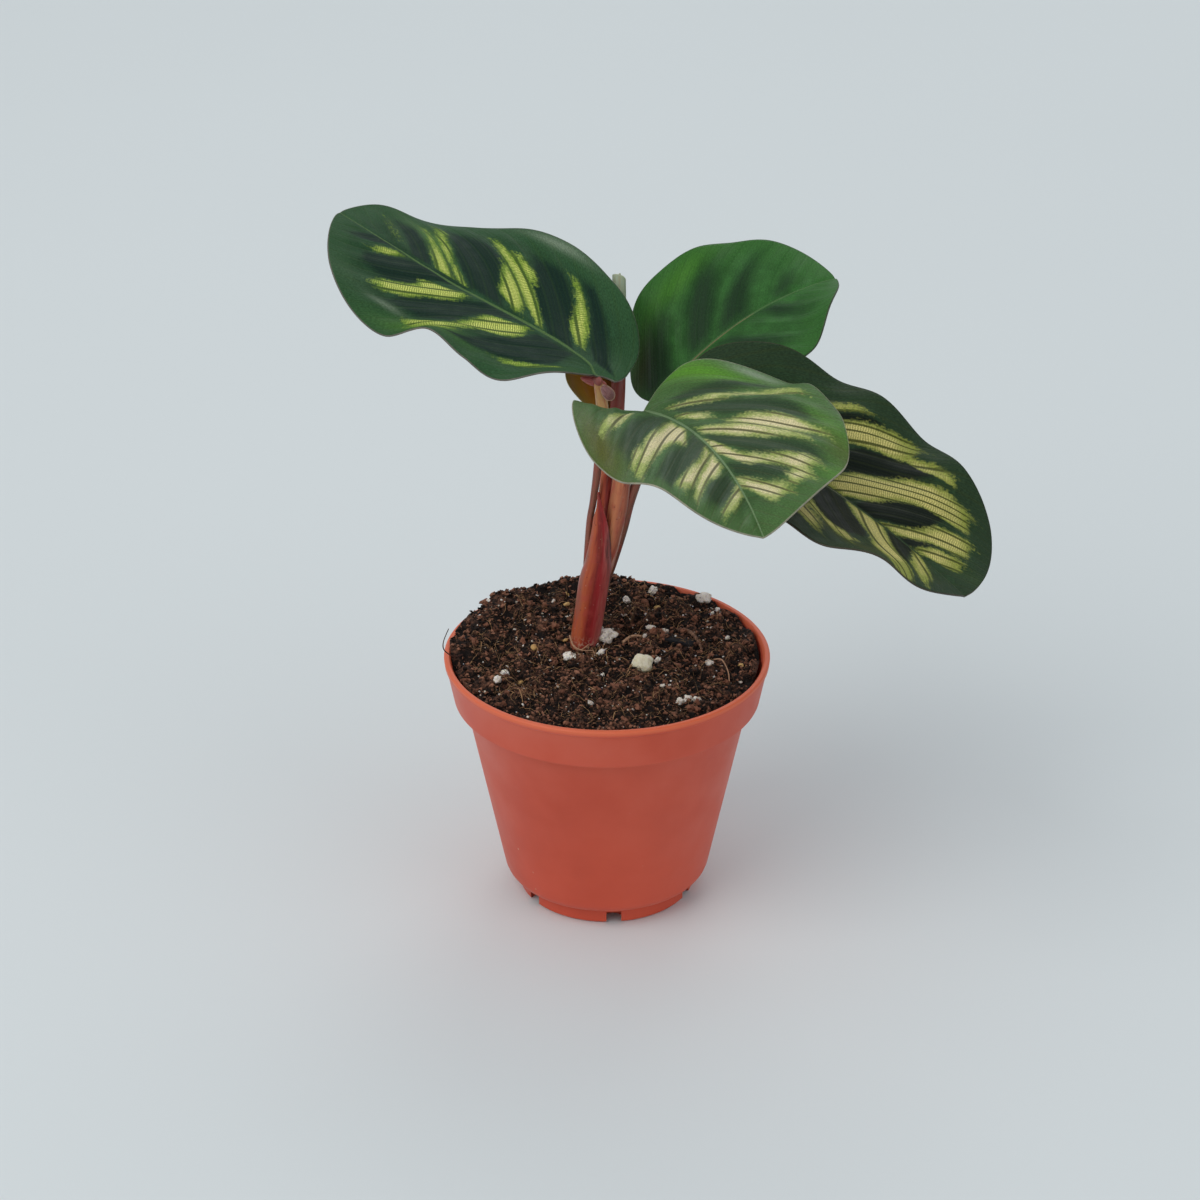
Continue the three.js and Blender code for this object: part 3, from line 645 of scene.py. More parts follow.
shoot = {  # a top is the colour from one height on, full at another
    "outerSheath": {
        "points": [(-6.7, 4, 33.3), (-4.4, 4.2, 47.2), (-3.25, 4.5, 55), (-2.4, 4.6, 61.3),
                   (-1.65, 4.6, 65.4), (-1.15, 4.4, 71.7), (-1.2, 4.2, 76), (-1.35, 4, 79.6)],
        "halfWidths": [(2, 2), (2.35, 2.25), (2.45, 2.4), (2.45, 2.3), (2.05, 2.1), (1.4, 1.6), (1.0, 1.2),
                       (0.8, 1.0)],
        "startAngles": (75, 80, 88, 95, 110, 165, 225, 256),
        "endAngles": (465, 452, 430, 400, 358, 322, 297, 262),
        "columns": 64, "rows": 90, "wall": 0.4, "overlap": 0.28, "wave": 0.09,
        "colours": "sheath", "streaks": 0.35,
    },
    "rightSheath": {
        "points": [(-2.6, 5, 56), (-0.3, 5.1, 64), (1.2, 5.1, 71), (2.15, 5, 77), (2.9, 4.6, 84)],
        "halfWidths": [(1.2, 1.2), (1.55, 1.4), (1.7, 1.5), (1.75, 1.35), (1.6, 1.0)],
        "colours": "pale", "streaks": 0.7,
    },
    "stalkLeft": {
        "points": [(-4.3, 5.3, 54), (-3.3, 5.2, 71), (-2.5, 4.9, 77), (-1.7, 4.5, 84), (-1.2, 4.1, 92),
                   (-0.9, 3.8, 96)],
        "halfWidths": [(0.6, 0.6), (0.62, 0.65), (0.65, 0.7), (0.75, 0.75), (0.9, 0.85), (1.1, 0.95)],
        "colours": "dull", "streaks": 0.3, "top": (92, 97, (0.52, 0.30, 0.12)),
    },
    "stalkBack": {
        "points": [(-2.2, 5.6, 56), (0.4, 7, 68), (3.4, 11, 78), (6.2, 15.5, 84.5)],
        "halfWidths": [(0.8, 0.8), (0.85, 0.85), (0.85, 0.85), (0.85, 0.85)],
        "colours": "dull", "streaks": 0.3,
    },
    "stalkFront": {
        "points": [(0.9, 5, 69), (2.2, 4.8, 77), (3.7, 3.9, 85), (5.3, 2.5, 91)],
        "halfWidths": [(0.8, 0.8), (0.85, 0.85), (0.85, 0.85), (0.9, 0.9)],
        "colours": "pale", "streaks": 0.6,
    },
    "stalkRight": {
        "points": [(-1.4, 5.4, 57), (0.9, 5.5, 64), (2.9, 5.6, 71), (4.3, 5.6, 77), (7.2, 5.7, 85.5),
                   (10.2, 5.7, 91.4)],
        "halfWidths": [(0.9, 0.9), (0.9, 0.9), (0.9, 0.9), (0.9, 0.9), (0.85, 0.85), (0.9, 0.9)],
        "colours": "dull", "streaks": 0.4,
    },
    "stalkYoung": {
        "points": [(-2, 5.6, 57), (-1.15, 5.7, 68), (-0.45, 6, 77), (0.4, 9, 83.5), (1.4, 12.7, 89),
                   (1.6, 14.6, 91.4)],
        "halfWidths": [(0.75, 0.75), (0.95, 0.8), (1.15, 0.85), (1.2, 1), (1.4, 1.4), (0.7, 0.7)],
        "colours": "red", "streaks": 0.5, "top": (84, 89, (0.28, 0.060, 0.046)),
    },
}

stalkShape = {"sides": 28, "rows": 60, "topWidth": 0.8}
stalkMarks = {"pale": (0.42, 0.20, 0.13), "dark": (0.055, 0.012, 0.010), "husk": (0.50, 0.34, 0.24),
              "blush": (0.42, 0.060, 0.050), "dots": (0.13, 0.020, 0.018), "specks": (0.50, 0.33, 0.25)}


def stalkSkin(name, stem):
    skin = Skin(name + "Skin", 0.38, specular=0.2, coat=0.04, glow=0.15, glowDepth=0.6)
    grain = skin.mark("grain")
    streak = skin.grain(grain, 3.2, detail=5, roughness=0.6, stretch=(1, 1, 0.045))
    wide = skin.grain(grain, 1.6, detail=4, stretch=(1, 1, 0.05))
    across = skin.add(skin.times(skin.split(grain)[0], 0.5), 0.5, skin.times(skin.add(wide, -0.5), 0.9))
    # painted light round the stalk: lighter on the left, darker at the right edge
    skin.colour = skin.ramp(across, stalkColoursAndLight[stem["colours"]])
    height = skin.split(skin.place)[2]
    if "top" in stem:
        begins, full, colour = stem["top"]
        skin.paint(skin.step(height, begins * millimetre, full * millimetre), colour)
    skin.paint(skin.step(streak, 0.56, 0.72), stalkMarks["pale"], stem["streaks"])
    skin.paint(skin.step(streak, 0.44, 0.30), stalkMarks["dark"], 0.55)
    torn = skin.step(skin.grain(skin.place, 1700, detail=4), 0.48, 0.56)
    skin.paint(skin.times(skin.step(height, 0.0512, 0.0486), torn), stalkMarks["husk"], 0.65)
    blush = skin.grain(grain, 1.1, stretch=(1, 1, 0.3))
    skin.paint(skin.step(blush, 0.5, 0.68, 0.0, 0.45), stalkMarks["blush"])
    skin.paint(skin.step(skin.cells(skin.place, 620), 0.12, 0.07), stalkMarks["dots"], 0.5)
    skin.paint(skin.step(skin.cells(skin.place, 750), 0.13, 0.06), stalkMarks["specks"], 0.35)
    return skin.finish(streak, 0.5, 0.14, (streak, 0.3, 0.7, 0.30, 0.50))


def widthsAlong(widths, t):
    return throughStations([w[0] for w in widths], t), throughStations([w[1] for w in widths], t)


def makeSheath(name, stem):
    # a sheet wrapped round the bundle: closed with an overlap at the foot, opening to a point at the top
    bm = bmesh.new()
    grain = bm.verts.layers.float_vector.new("grain")
    bmesh.ops.create_grid(bm, x_segments=stem["columns"], y_segments=stem["rows"], size=0.5)
    for vert in bm.verts:
        share, t = vert.co.x + 0.5, vert.co.y + 0.5
        start = throughStations(stem["startAngles"], t)
        end = throughStations(stem["endAngles"], t)
        angle = math.radians(start + (end - start) * share)
        halfX, halfY = widthsAlong(stem["halfWidths"], t)
        proud = stem["overlap"] * share + stem["wave"] * math.sin(3 * angle + 5 * t) * t
        centre = pathThrough(stem["points"], t)
        vert[grain] = (math.cos(angle), math.sin(angle), centre.z)
        vert.co = centre + Vector(((halfX + proud) * math.cos(angle), (halfY + proud) * math.sin(angle), 0))
    bmesh.ops.recalc_face_normals(bm, faces=bm.faces)
    outward = sum((face.normal.dot(face.calc_center_median() - pathThrough(stem["points"], 0.3))
                   for face in bm.faces if face.calc_center_median().z < 52))
    if outward < 0:
        bmesh.ops.reverse_faces(bm, faces=bm.faces)
    finishPiece(name, bm, [stalkSkin(name, stem)], "shoot", wall=stem["wall"])


def makeStem(name, stem, reach=None):
    # reach is the place under the blade where a stalk ends
    points, widths = list(stem["points"]), list(stem["halfWidths"])
    if reach is not None:
        points.append(tuple(reach))
        widths.append((stalkShape["topWidth"], stalkShape["topWidth"]))
    tubePiece(name, points, lambda t: widthsAlong(widths, t), stalkShape, stalkSkin(name, stem), "shoot")


# blades

bladeShape = {  # vein step and ripple length in percent of the leaf's length
    "rows": 150, "columns": 48, "marginSteps": 800, "thickness": 0.3, "veinStep": 5, "veinRidge": 0.035,
    "rippleLength": 15, "groove": 0.14, "grooveWidth": 0.7, "baseRows": 1.2, "marginRows": 1.5,
    # pale is the colour of the painted sheen
    "pale": (0.30, 0.36, 0.27),
    "under": {"ground": (0.17, 0.03, 0.055), "blotch": (0.085, 0.012, 0.03), "window": (0.33, 0.17, 0.13),
              "vein": (0.30, 0.12, 0.12), "edge": (0.16, 0.14, 0.06)},
}

rib = {  # shares of the radius at the knee, then at places along the leaf
    "sides": 18, "rows": 70, "knee": 2.4, "kneeOverlap": 1.2, "stalkOverlap": 1.5, "radius": 0.85,
    "swelling": 0.5, "swellingReach": 0.05,
    "shares": (0.55, 1.0, 1.0, 0.9, 0.8, 0.66, 0.54, 0.44, 0.34, 0.2),
    "places": (0.035, 0.065, 0.1, 0.2, 0.32, 0.45, 0.6, 0.8),
    "foot": (0.33, 0.085, 0.075), "colour": (0.17, 0.16, 0.055), "streak": (0.12, 0.035, 0.03),
}

# Left of the midrib is 1 and right -1. A pale window or dark blotch is its start and end on the way out, its
# upper and its lower edge, and perhaps the most it is deep. A tint is its side, middle, spread and perhaps
# strength, and a side vein is its place at the midrib and at the margin. Places are in percent of the leaf.
# The fresh tints are bright green, partly painted glow of light through the leaf, and the pale tints are
# painted sheen.
leaves = {
    "leaf_left": {
        "piece": "Left", "stalk": "stalkLeft", "base": (0, 3.8, 102), "heading": 137.5, "pitch": 13,
        "sway": 18.5, "droop": 9.5, "bend": 1.07, "length": 62, "width": 45, "lobes": (0.4, 6.9),
        "point": 0.35, "full": 0.94, "blunt": 0.81, "fold": 1.5, "roll": (20, -5, -3, 7),
        "left": (0, -24, 13, 29, -7, -15, -9, 2), "right": (7, 36, 19, 14, 6, -12, -20, 11),
        "edges": ((0, 1.1, 1, 0, 0, 0.3, 0.5, -1.1, 0), (0, -6.4, -3.2, -0.9, 0, -0.4, -1, 0, 0)),
        "hook": (3.2, 3.2), "weave": (0, -0.9, -0.9, -0.4, 0.2, 0.8, 0.9, 0.6, 0.3, 0),
        "veinAim": (0.95, 0.52), "ripple": 0.16,
        "windows": {
            1: [
                ((10, 58), (50, 57, 53, 52, 52, 48), (48, 45, 44.5, 44.5, 43, 44)),
                ((4, 68), (30, 34.5, 30, 25.5, 20, 15.5), (28.5, 22.5, 19.5, 20.5, 16.5, 12.5)),
                ((62, 82), (17, 23, 20, 12), (13, 10, 8.5, 7)),
                ((8, 21), (75.5, 76.5, 74.5), (73.5, 72.5, 73)),
                ((36, 60), (-5.5, -3.5, -4), (-7.5, -7.5, -6.5)),
            ],
            -1: [
                ((0, 50), (64.5, 65, 63, 61, 59), (59, 60, 60.5, 60, 58)),
                ((18, 60), (58.5, 57.5, 55, 51), (57, 55, 53, 49)),
                ((0, 16), (56, 57.5, 57), (54, 55, 56)),
                ((8, 46), (36, 39.5, 37.5, 35.5, 33), (33.5, 31.5, 31, 31, 31.8)),
                ((8, 71), (27, 29.5, 30.3, 30.2, 30.5, 28), (25.5, 25, 25, 24.5, 26, 27)),
                ((44, 62), (24.2, 24.5, 24), (22.5, 20.5, 22)),
                ((16, 69), (11, 11.5, 7.5, 4, 1.5), (8.5, 6, 3.2, 1.2, 0)),
                ((10, 32), (78.5, 79, 76.5), (77, 76.5, 75.5), -0.45),
            ],
        },
        "blotches": {
            1: [
                ((2, 64), (45, 44.5, 44, 43.5, 42, 38), (33, 35.5, 33, 28.5, 24, 25)),
                ((2, 46), (68, 71, 71, 69, 62), (54, 58, 55, 53, 54)),
                ((2, 78), (26, 21, 18, 14, 8, 4), (12, 5, -2, -3, -2, 0)),
                ((0, 22), (86, 86, 84), (79, 79, 80)),
            ],
            -1: [
                ((3, 64), (52, 54, 53, 50, 45), (40, 40, 37, 33, 33)),
                ((5, 70), (23, 24.5, 24, 21, 15), (13, 13, 9, 6, 5)),
                ((8, 74), (5, 5, 2, -1, -3), (-3, -3, -5, -7, -8)),
                ((0, 40), (74, 73, 71), (67, 66, 65)),
            ],
        },
        "colours": {
            "ground": (0.018, 0.05, 0.022), "margin": (0.034, 0.09, 0.036), "freshAndGlow": (0.06, 0.15, 0.03),
            "olive": (0.11, 0.15, 0.04), "blotch": (0.01, 0.027, 0.019), "blotchSoften": (-0.6, 0.6),
            "window": (0.62, 0.66, 0.17), "windowEdge": (0.17, 0.29, 0.035), "rung": (0.16, 0.24, 0.03),
            "rungs": 1.9, "rungShare": 0.9, "fringe": 1.2, "depth": 0.95, "soften": (-0.6, 0.25),
            "vein": (0.035, 0.075, 0.018), "midrib": (0.085, 0.155, 0.05), "rim": (0.16, 0.15, 0.12),
            "gloss": 0.035,
        },
        "tints": {
            "freshAndGlow": [(-1, 35, 60, 20, 6), (1, 78, 10, 14, 12)],
            "olive": [],
            "pale": [(-1, 93, -3, 5, 10, 0.5), (1, 70, 32, 3, 6, 0.35), (1, 72, 50, 18, 14, 0.07)],
        },
        "veins": {
            1: [(-3, -20), (3, -13), (8.5, -6), (14, 0), (19, 4), (25, 8), (31, 17), (36, 27), (41, 36),
                (45.7, 43), (50.5, 52), (55.5, 56), (61, 61), (66.5, 66.5), (72, 72), (77.5, 77), (83, 82.5),
                (88.5, 88), (94, 94)],
            -1: [(-2, -15), (4, -8), (10, -1), (15.5, 8), (20.5, 16), (25.5, 24), (30.8, 31), (36, 36),
                 (41, 41), (46, 45.5), (51, 50), (55.5, 54.5), (59.2, 58.5), (64.5, 64), (70, 70), (75, 75),
                 (80, 80), (86, 86), (92, 92)],
        },
    },
    "leaf_back": {
        "piece": "Back", "stalk": "stalkBack", "base": (8.6, 19.7, 89.9), "heading": 38, "pitch": 37,
        "sway": -21, "droop": -29, "bend": 1.34, "length": 42.5, "width": 36, "lobes": (1.7, 1.4),
        "point": 0.33, "full": 0.98, "blunt": 0.94, "fold": 11.5, "roll": (-16, 11, 14, 0),
        "left": (-7, -9, 15, 11, 11, -1, 13, 8), "right": (4, -1, -3, -7, -9, -11, 9, 16),
        "edges": ((0, -0.6, -0.6, 0.2, 0.1, 0.1, 0.3, 0.3, 0), (0, 0, -0.1, -0.2, -0.3, 0.3, 0.1, -0.2, 0)),
        "hook": (0, 3.2), "weave": (0, 0, 0), "veinAim": (0.72, 0.43), "ripple": 0.2,
        "windows": {1: [], -1: []},
        "blotches": {
            1: [
                ((2, 62), (56, 56, 54, 51), (41, 42, 44, 47)),
                ((5, 78), (36, 38, 35, 28), (24, 22, 20, 20)),
                ((5, 62), (14, 13, 11, 8), (-2, -6, -9, -8)),
                ((5, 24), (76, 77, 75), (70, 70, 72)),
            ],
            -1: [
                ((2, 42), (68, 67, 63), (60, 58, 58)),
                ((8, 62), (42, 40, 36), (34, 31, 30)),
                ((5, 62), (16, 13, 8), (2, -3, -5)),
            ],
        },
        "colours": {
            "ground": (0.028, 0.098, 0.022), "margin": (0.038, 0.135, 0.027), "freshAndGlow": (0.055, 0.18, 0.022),
            "olive": (0.035, 0.038, 0.012), "blotch": (0.015, 0.042, 0.016), "blotchSoften": (-1.5, 1.7),
            "window": (0.05, 0.14, 0.03), "windowEdge": (0.04, 0.12, 0.025), "rung": (0.04, 0.1, 0.02),
            "rungs": 1.8, "rungShare": 0.3, "fringe": 1.3, "depth": 0.7, "soften": (-0.45, 0.05),
            "vein": (0.02, 0.07, 0.016), "midrib": (0.07, 0.15, 0.05), "rim": (0.05, 0.07, 0.03),
            "gloss": 0.1,
        },
        "tints": {
            "freshAndGlow": [(1, 80, 10, 16, 14)],
            "olive": [(1, 45, -10, 25, 10, 0.7)],
            "pale": [],
        },
        "veins": {
            1: [(5.5 * k - 10, 5.5 * k - 14) for k in range(20)],
            -1: [(5.5 * k - 11, 5.5 * k - 15) for k in range(20)],
        },
    },
    "leaf_front": {
        "piece": "Front", "stalk": "stalkFront", "base": (6.4, 1.7, 96.1), "heading": -60.5, "pitch": 17,
        "sway": -12.5, "droop": -42.5, "bend": 1.1, "length": 50.5, "width": 45, "lobes": (5.2, 2.2),
        "point": 0.38, "full": 0.95, "blunt": 0.87, "fold": 21.5, "roll": (11, 2, 1, 5),
        "left": (17, -23, -29, -13, -14, -8, -14, 31), "right": (26, 13, -11, -25, -30, -25, 11, 21),
        "edges": ((0, -2.5, -2.6, -0.2, -0.1, 0, 0.4, -2.4, 0), (0, 0.1, 0.6, 0.3, 0.3, 0, 0.3, 0.2, 0)),
        "hook": (0, 3.2), "weave": (0, 0, 0), "veinAim": (1.03, 0.48), "ripple": 0.3,
        "windows": {
            1: [
                ((3, 30), (75, 78.5, 77, 70), (71, 70, 69.5, 67)),
                ((1, 59), (54, 60, 57, 54, 53, 45), (44, 53, 53, 50.5, 46.5, 43)),
                ((37, 50), (64, 60, 55), (60, 55, 52)),
                ((6, 62), (38, 39, 37.5, 34, 31), (35, 34, 31.5, 31, 29.5)),
                ((26, 76), (29.5, 30.5, 28.5, 25, 22), (28, 22.5, 19.5, 16.5, 20)),
                ((6, 17), (21.5, 24, 23.5), (20, 20.5, 21.8)),
                ((10, 86), (9, 7.5, 1, -5, -11), (8.5, 5.5, -1.5, -8, -13), 0.12),
            ],
            -1: [
                ((3, 26), (79, 80, 78), (75.5, 76.5, 76.5), 0.3),
                ((6, 46), (62, 63.5, 60.5, 60, 59.5), (55, 55.6, 55.6, 56.5, 58.5)),
                ((8, 54), (52, 54.5, 54.5, 54, 50), (50, 51.8, 50.5, 48.5, 46)),
                ((8, 77), (33, 38.5, 32, 27, 23.5, 22), (24, 23.5, 22.5, 19, 18.5, 19)),
                ((62, 76), (17.5, 17, 16), (15.5, 13.5, 14)),
                ((32, 80), (1, 0, -4, -11), (0, -4, -9, -12.5), 0.25),
            ],
        },
        "blotches": {
            1: [
                ((2, 40), (69, 68, 65, 60), (62, 60, 56, 55.5)),
                ((4, 66), (48, 52, 49, 42), (40, 40, 37, 34)),
                ((10, 78), (19, 21.5, 17, 12), (10, 7, 4, 2)),
                ((18, 80), (6, 0, -10, -15), (0, -8, -16, -22)),
            ],
            -1: [
                ((4, 38), (74, 75.5, 73, 67), (67, 65, 63, 63)),
                ((4, 64), (50, 50.5, 47, 42), (38, 40, 34, 31)),
                ((8, 78), (21, 21, 16, 11), (10, 8, 4, 0)),
            ],
        },
        # the front leaf's blotch and rim colours are lighter and greyer than on the other leaves, partly
        # painted sheen
        "colours": {
            "ground": (0.046, 0.1, 0.032), "margin": (0.066, 0.14, 0.04), "freshAndGlow": (0.095, 0.26, 0.025),
            "olive": (0.088, 0.092, 0.013), "blotch": (0.029, 0.06, 0.026), "blotchSoften": (-0.8, 0.7),
            "window": (0.7, 0.62, 0.36), "windowEdge": (0.3, 0.39, 0.09), "rung": (0.44, 0.4, 0.19),
            "rungs": 1.9, "rungShare": 0.3, "fringe": 0.9, "depth": 0.9, "soften": (-0.8, 0.2),
            "vein": (0.08, 0.08, 0.034), "midrib": (0.15, 0.23, 0.11), "rim": (0.36, 0.34, 0.25),
            "gloss": 0.12,
        },
        "tints": {
            "freshAndGlow": [(1, 50, -22, 26, 9), (-1, 30, 44, 10, 2), (1, 75, 50, 14, 9, 0.8),
                      (1, 84, 12, 10, 12, 0.5), (-1, 45, 45, 16, 4, 0.4)],
            "olive": [(-1, 90, -10, 14, 20, 0.9), (1, 82, 28, 10, 14, 0.4)],
            "pale": [(1, 80, -30, 10, 4, 0.5), (1, 32, -33, 18, 5, 0.45)],
        },
        "veins": {
            1: [(-10, -25), (-4, -20), (2, -14), (8, -6), (14, 3), (20, 12), (25.5, 18), (31.5, 24),
                (36.5, 31), (41, 37), (45.5, 42), (50, 46), (55, 50), (60, 55.5), (65, 61), (70, 67),
                (75, 73), (81, 79), (87, 86), (93, 92)],
            -1: [(-6, -20), (0, -13), (6, -6), (12, 2), (17, 9), (22, 15), (28.5, 20), (34.5, 28), (39, 34),
                 (43.5, 40), (48.5, 46), (54, 57), (60.5, 62), (66, 67), (71, 72), (76.5, 77), (82, 82),
                 (88, 88), (94, 94)],
        },
    },
    "leaf_right": {
        "piece": "Right", "stalk": "stalkRight", "base": (11.8, 5.7, 96.2), "heading": -32, "pitch": -10,
        "sway": -10.5, "droop": -15.5, "bend": 1.03, "length": 65.5, "width": 48, "lobes": (4.2, 2.6),
        "point": 0.4, "full": 0.96, "blunt": 0.75, "fold": 8.5, "roll": (25, 9, -5, -19),
        "left": (12, 12, -11, 6, -1, 19, 13, -4), "right": (4, 4, 4, 6, 9, 1, 10, -26),
        "edges": ((0, -0.9, -1.3, 0, 0, 0.1, 0.5, -0.3, 0), (0, 0, -0.2, -0.7, -1.2, 0.4, 0.1, 0.5, 0)),
        "hook": (0, 3.2), "weave": (0, 0, 0), "veinAim": (1, 0.6), "ripple": 0.14,
        "windows": {
            1: [
                ((1, 67), (55.5, 56.5, 53.5, 52.5, 57.5, 47), (49, 45, 42, 41, 37.5, 37)),
                ((2, 48), (74, 74.5, 73.5, 75.5, 72, 65), (68.5, 69, 68, 65.5, 62.5, 63)),
                ((3, 26), (82.5, 85.5, 85, 80), (80, 78.5, 77, 78.5)),
                ((4, 87), (30, 28, 24, 22.5, 22, 10), (24, 21, 18, 12, 7.5, 6)),
                ((70, 81), (28, 32.5, 26), (20, 20, 20)),
                ((6, 79), (10, 8, 4.5, 0), (6, 4, 0, -4), 0.2),
            ],
            -1: [
                ((2, 70), (70, 69.5, 68, 67.5, 64, 57), (57.5, 59, 60, 57, 54, 51)),
                ((2, 43), (83, 83, 80, 75), (80.5, 78, 74, 72.5)),
                ((3, 60), (44, 42, 39, 38.5, 40), (36, 37, 37.5, 34.5, 37)),
                ((49, 59), (45.5, 47, 42), (36, 36, 38)),
                ((10, 76), (34.5, 34.5, 33.5, 32.5, 25), (30, 31, 29, 23.5, 22)),
            ],
        },
        "blotches": {
            1: [
                ((0, 73), (46, 42.5, 40.5, 37.5, 30), (34, 32, 29, 24, 24)),
                ((0, 51), (66.5, 68, 67.5, 61, 55), (60, 56.5, 54, 53, 53.5)),
                ((0, 21), (80, 78, 75.5), (75, 74.5, 74.5)),
                ((0, 80), (20, 17, 11, 6), (12, 10, 6, 2)),
            ],
            -1: [
                ((2, 51), (56, 58, 59, 55, 45), (46, 45, 41, 38.5, 39)),
                ((0, 34), (81, 78.5, 74.5, 72), (72, 70, 68.5, 69)),
                ((2, 72), (26, 26, 23, 20), (12, 12, 10, 10)),
            ],
        },
        "colours": {
            "ground": (0.017, 0.038, 0.016), "margin": (0.024, 0.046, 0.022), "freshAndGlow": (0.05, 0.1, 0.02),
            "olive": (0.07, 0.08, 0.015), "blotch": (0.007, 0.012, 0.008), "blotchSoften": (-0.4, 0.5),
            "window": (0.62, 0.55, 0.2), "windowEdge": (0.22, 0.28, 0.045), "rung": (0.27, 0.26, 0.06),
            "rungs": 2, "rungShare": 0.75, "fringe": 1.3, "depth": 1.1, "soften": (-0.6, 0.25),
            "vein": (0.04, 0.052, 0.01), "midrib": (0.035, 0.06, 0.025), "rim": (0.06, 0.05, 0.03),
            "gloss": 0.06,
        },
        "tints": {
            "freshAndGlow": [(1, 24, 86, 16, 6, 0.22)],
            "olive": [(-1, 62, 42, 8, 10, 0.5)],
            "pale": [],
        },
        "veins": {
            1: [(-2, -20), (3, -12), (8.5, -3), (14.5, 5), (19.5, 7.5), (25.5, 10), (30, 20), (34.5, 34),
                (39.2, 49), (44, 52), (48.2, 55), (53, 58.5), (58, 62), (63.5, 66.5), (69.3, 71), (75, 76),
                (80, 81), (85, 86), (90, 91), (95, 96)],
            -1: [(0, -12), (5, -5), (10.5, 3), (16, 10), (21, 17), (26.5, 23.5), (32, 29), (37, 34),
                 (42, 39), (47, 44), (52, 48), (56.5, 51.5), (61.5, 55), (67.5, 58.5), (73, 66), (80, 72),
                 (86, 80), (92, 87)],
        },
    },
}


def flatMargin(leaf, tau, half):
    # the flat outline at tau, 0 at the stalk and 1 at the tip; half is 0 on the left and 1 on the right
    turn = math.pi * tau
    lobe = leaf["lobes"][half] * math.sin(2 * turn) if tau < 0.5 else 0
    narrowing = 1 - leaf["point"] * math.exp(-(((1 - tau) / 0.1) ** 2))
    along = leaf["length"] * ((1 - math.cos(turn)) / 2) ** leaf["full"] - lobe
    plain = leaf["width"] / 2 * max(math.sin(turn), 0.0) ** leaf["blunt"] * narrowing
    return along, max(plain + throughStations(leaf["edges"][half], tau), 0.0)


def hookShift(leaf, x):
    swing, reach = leaf["hook"]
    return swing * math.exp(-((max(x, 0.0) / reach) ** 2))


def ribShift(leaf, x):
    return throughStations(leaf["weave"], min(max(x / leaf["length"], 0), 1))


def bladeSurface(leaf):
    # the bent blade: a point that is x along the flat leaf and y to its left
    count = 80

    def aim(t):
        heading = math.radians(leaf["heading"] + leaf["sway"] * t)
        pitch = math.radians(leaf["pitch"] + leaf["droop"] * t ** leaf["bend"])
        level = math.cos(pitch)
        return heading, Vector((math.cos(heading) * level, math.sin(heading) * level, math.sin(pitch)))

    midrib = [Vector(leaf["base"])]
    for k in range(count):
        midrib.append(midrib[-1] + aim((k + 0.5) / count)[1] * (leaf["length"] / count))

    def surface(x, straightY):
        y = straightY + hookShift(leaf, x)
        t = x / leaf["length"]
        inside = min(max(t, 0.0), 1.0)
        k = min(int(inside * count), count - 1)
        place = midrib[k].lerp(midrib[k + 1], inside * count - k)
        heading, along = aim(inside)
        place = place + along * (min(t, 0.0) * leaf["length"])
        level = Vector((-math.sin(heading), math.cos(heading), 0))
        up = along.cross(level)
        roll = math.radians(throughStations(leaf["roll"], inside))
        left = level * math.cos(roll) + up * math.sin(roll)
        normal = up * math.cos(roll) - level * math.sin(roll)
        half = leaf["width"] / 2
        lift = math.radians(throughStations(leaf["left"] if y >= 0 else leaf["right"], inside))
        curl = lift if abs(lift) > 1e-4 else 1e-4
        start = math.radians(leaf["fold"])
        end = start + curl * abs(y) / half
        outward = half / curl * (math.sin(end) - math.sin(start))
        raised = half / curl * (math.cos(start) - math.cos(end))
        return place + left * math.copysign(outward, y) + normal * raised
    return surface


def veinPlace(leaf, x, y):
    # in percent, where the side vein through a flat point leaves the midrib and how far out the point lies;
    # then the vein's slope and, in millimetres, the distance along the rungs
    first, second = leaf["veinAim"]
    half = leaf["width"] / 2
    u = abs(y) / half
    q = (x - half * (first * u + second * u * u)) / leaf["length"]
    slope = first + 2 * second * u
    ladder = x + half / (2 * second) * math.log(slope / first)
    return 100 * q, 100 * u, slope, ladder


def bandField(leaf, bands, q, u, slope):
    # how deep a point lies inside the nearest band, in millimetres; outside it is below zero
    best = -4.0
    across = leaf["length"] / 100 / math.hypot(1, slope)
    alongVein = leaf["width"] / 200 * math.hypot(1, slope)
    for (start, end), tops, feet, *most in bands:
        t = (u - start) / (end - start)
        top, foot = throughStations(tops, t), throughStations(feet, t)
        fromEnds = min((u - start) * 0.6, (end - u) * 0.28) * alongVein
        best = max(best, min((top - q) * across, (q - foot) * across, fromEnds, *most))
    return best


def veinCount(veins, q, u):
    # whole numbers lie on the side veins
    places = [start + (end - start) * (u / 100) ** 2 for start, end in veins]
    k = 0
    while k < len(places) - 2 and q > places[k + 1]:
        k += 1
    return k + (q - places[k]) / (places[k + 1] - places[k])


def tintShare(spots, side, u, q):
    share = 0.0
    for spotSide, spotU, spotQ, wideU, wideQ, *strength in spots:
        if spotSide == side:
            fade = math.exp(-((u - spotU) / wideU) ** 2 - ((q - spotQ) / wideQ) ** 2)
            share += fade * (strength[0] if strength else 1)
    return min(share, 1.0)


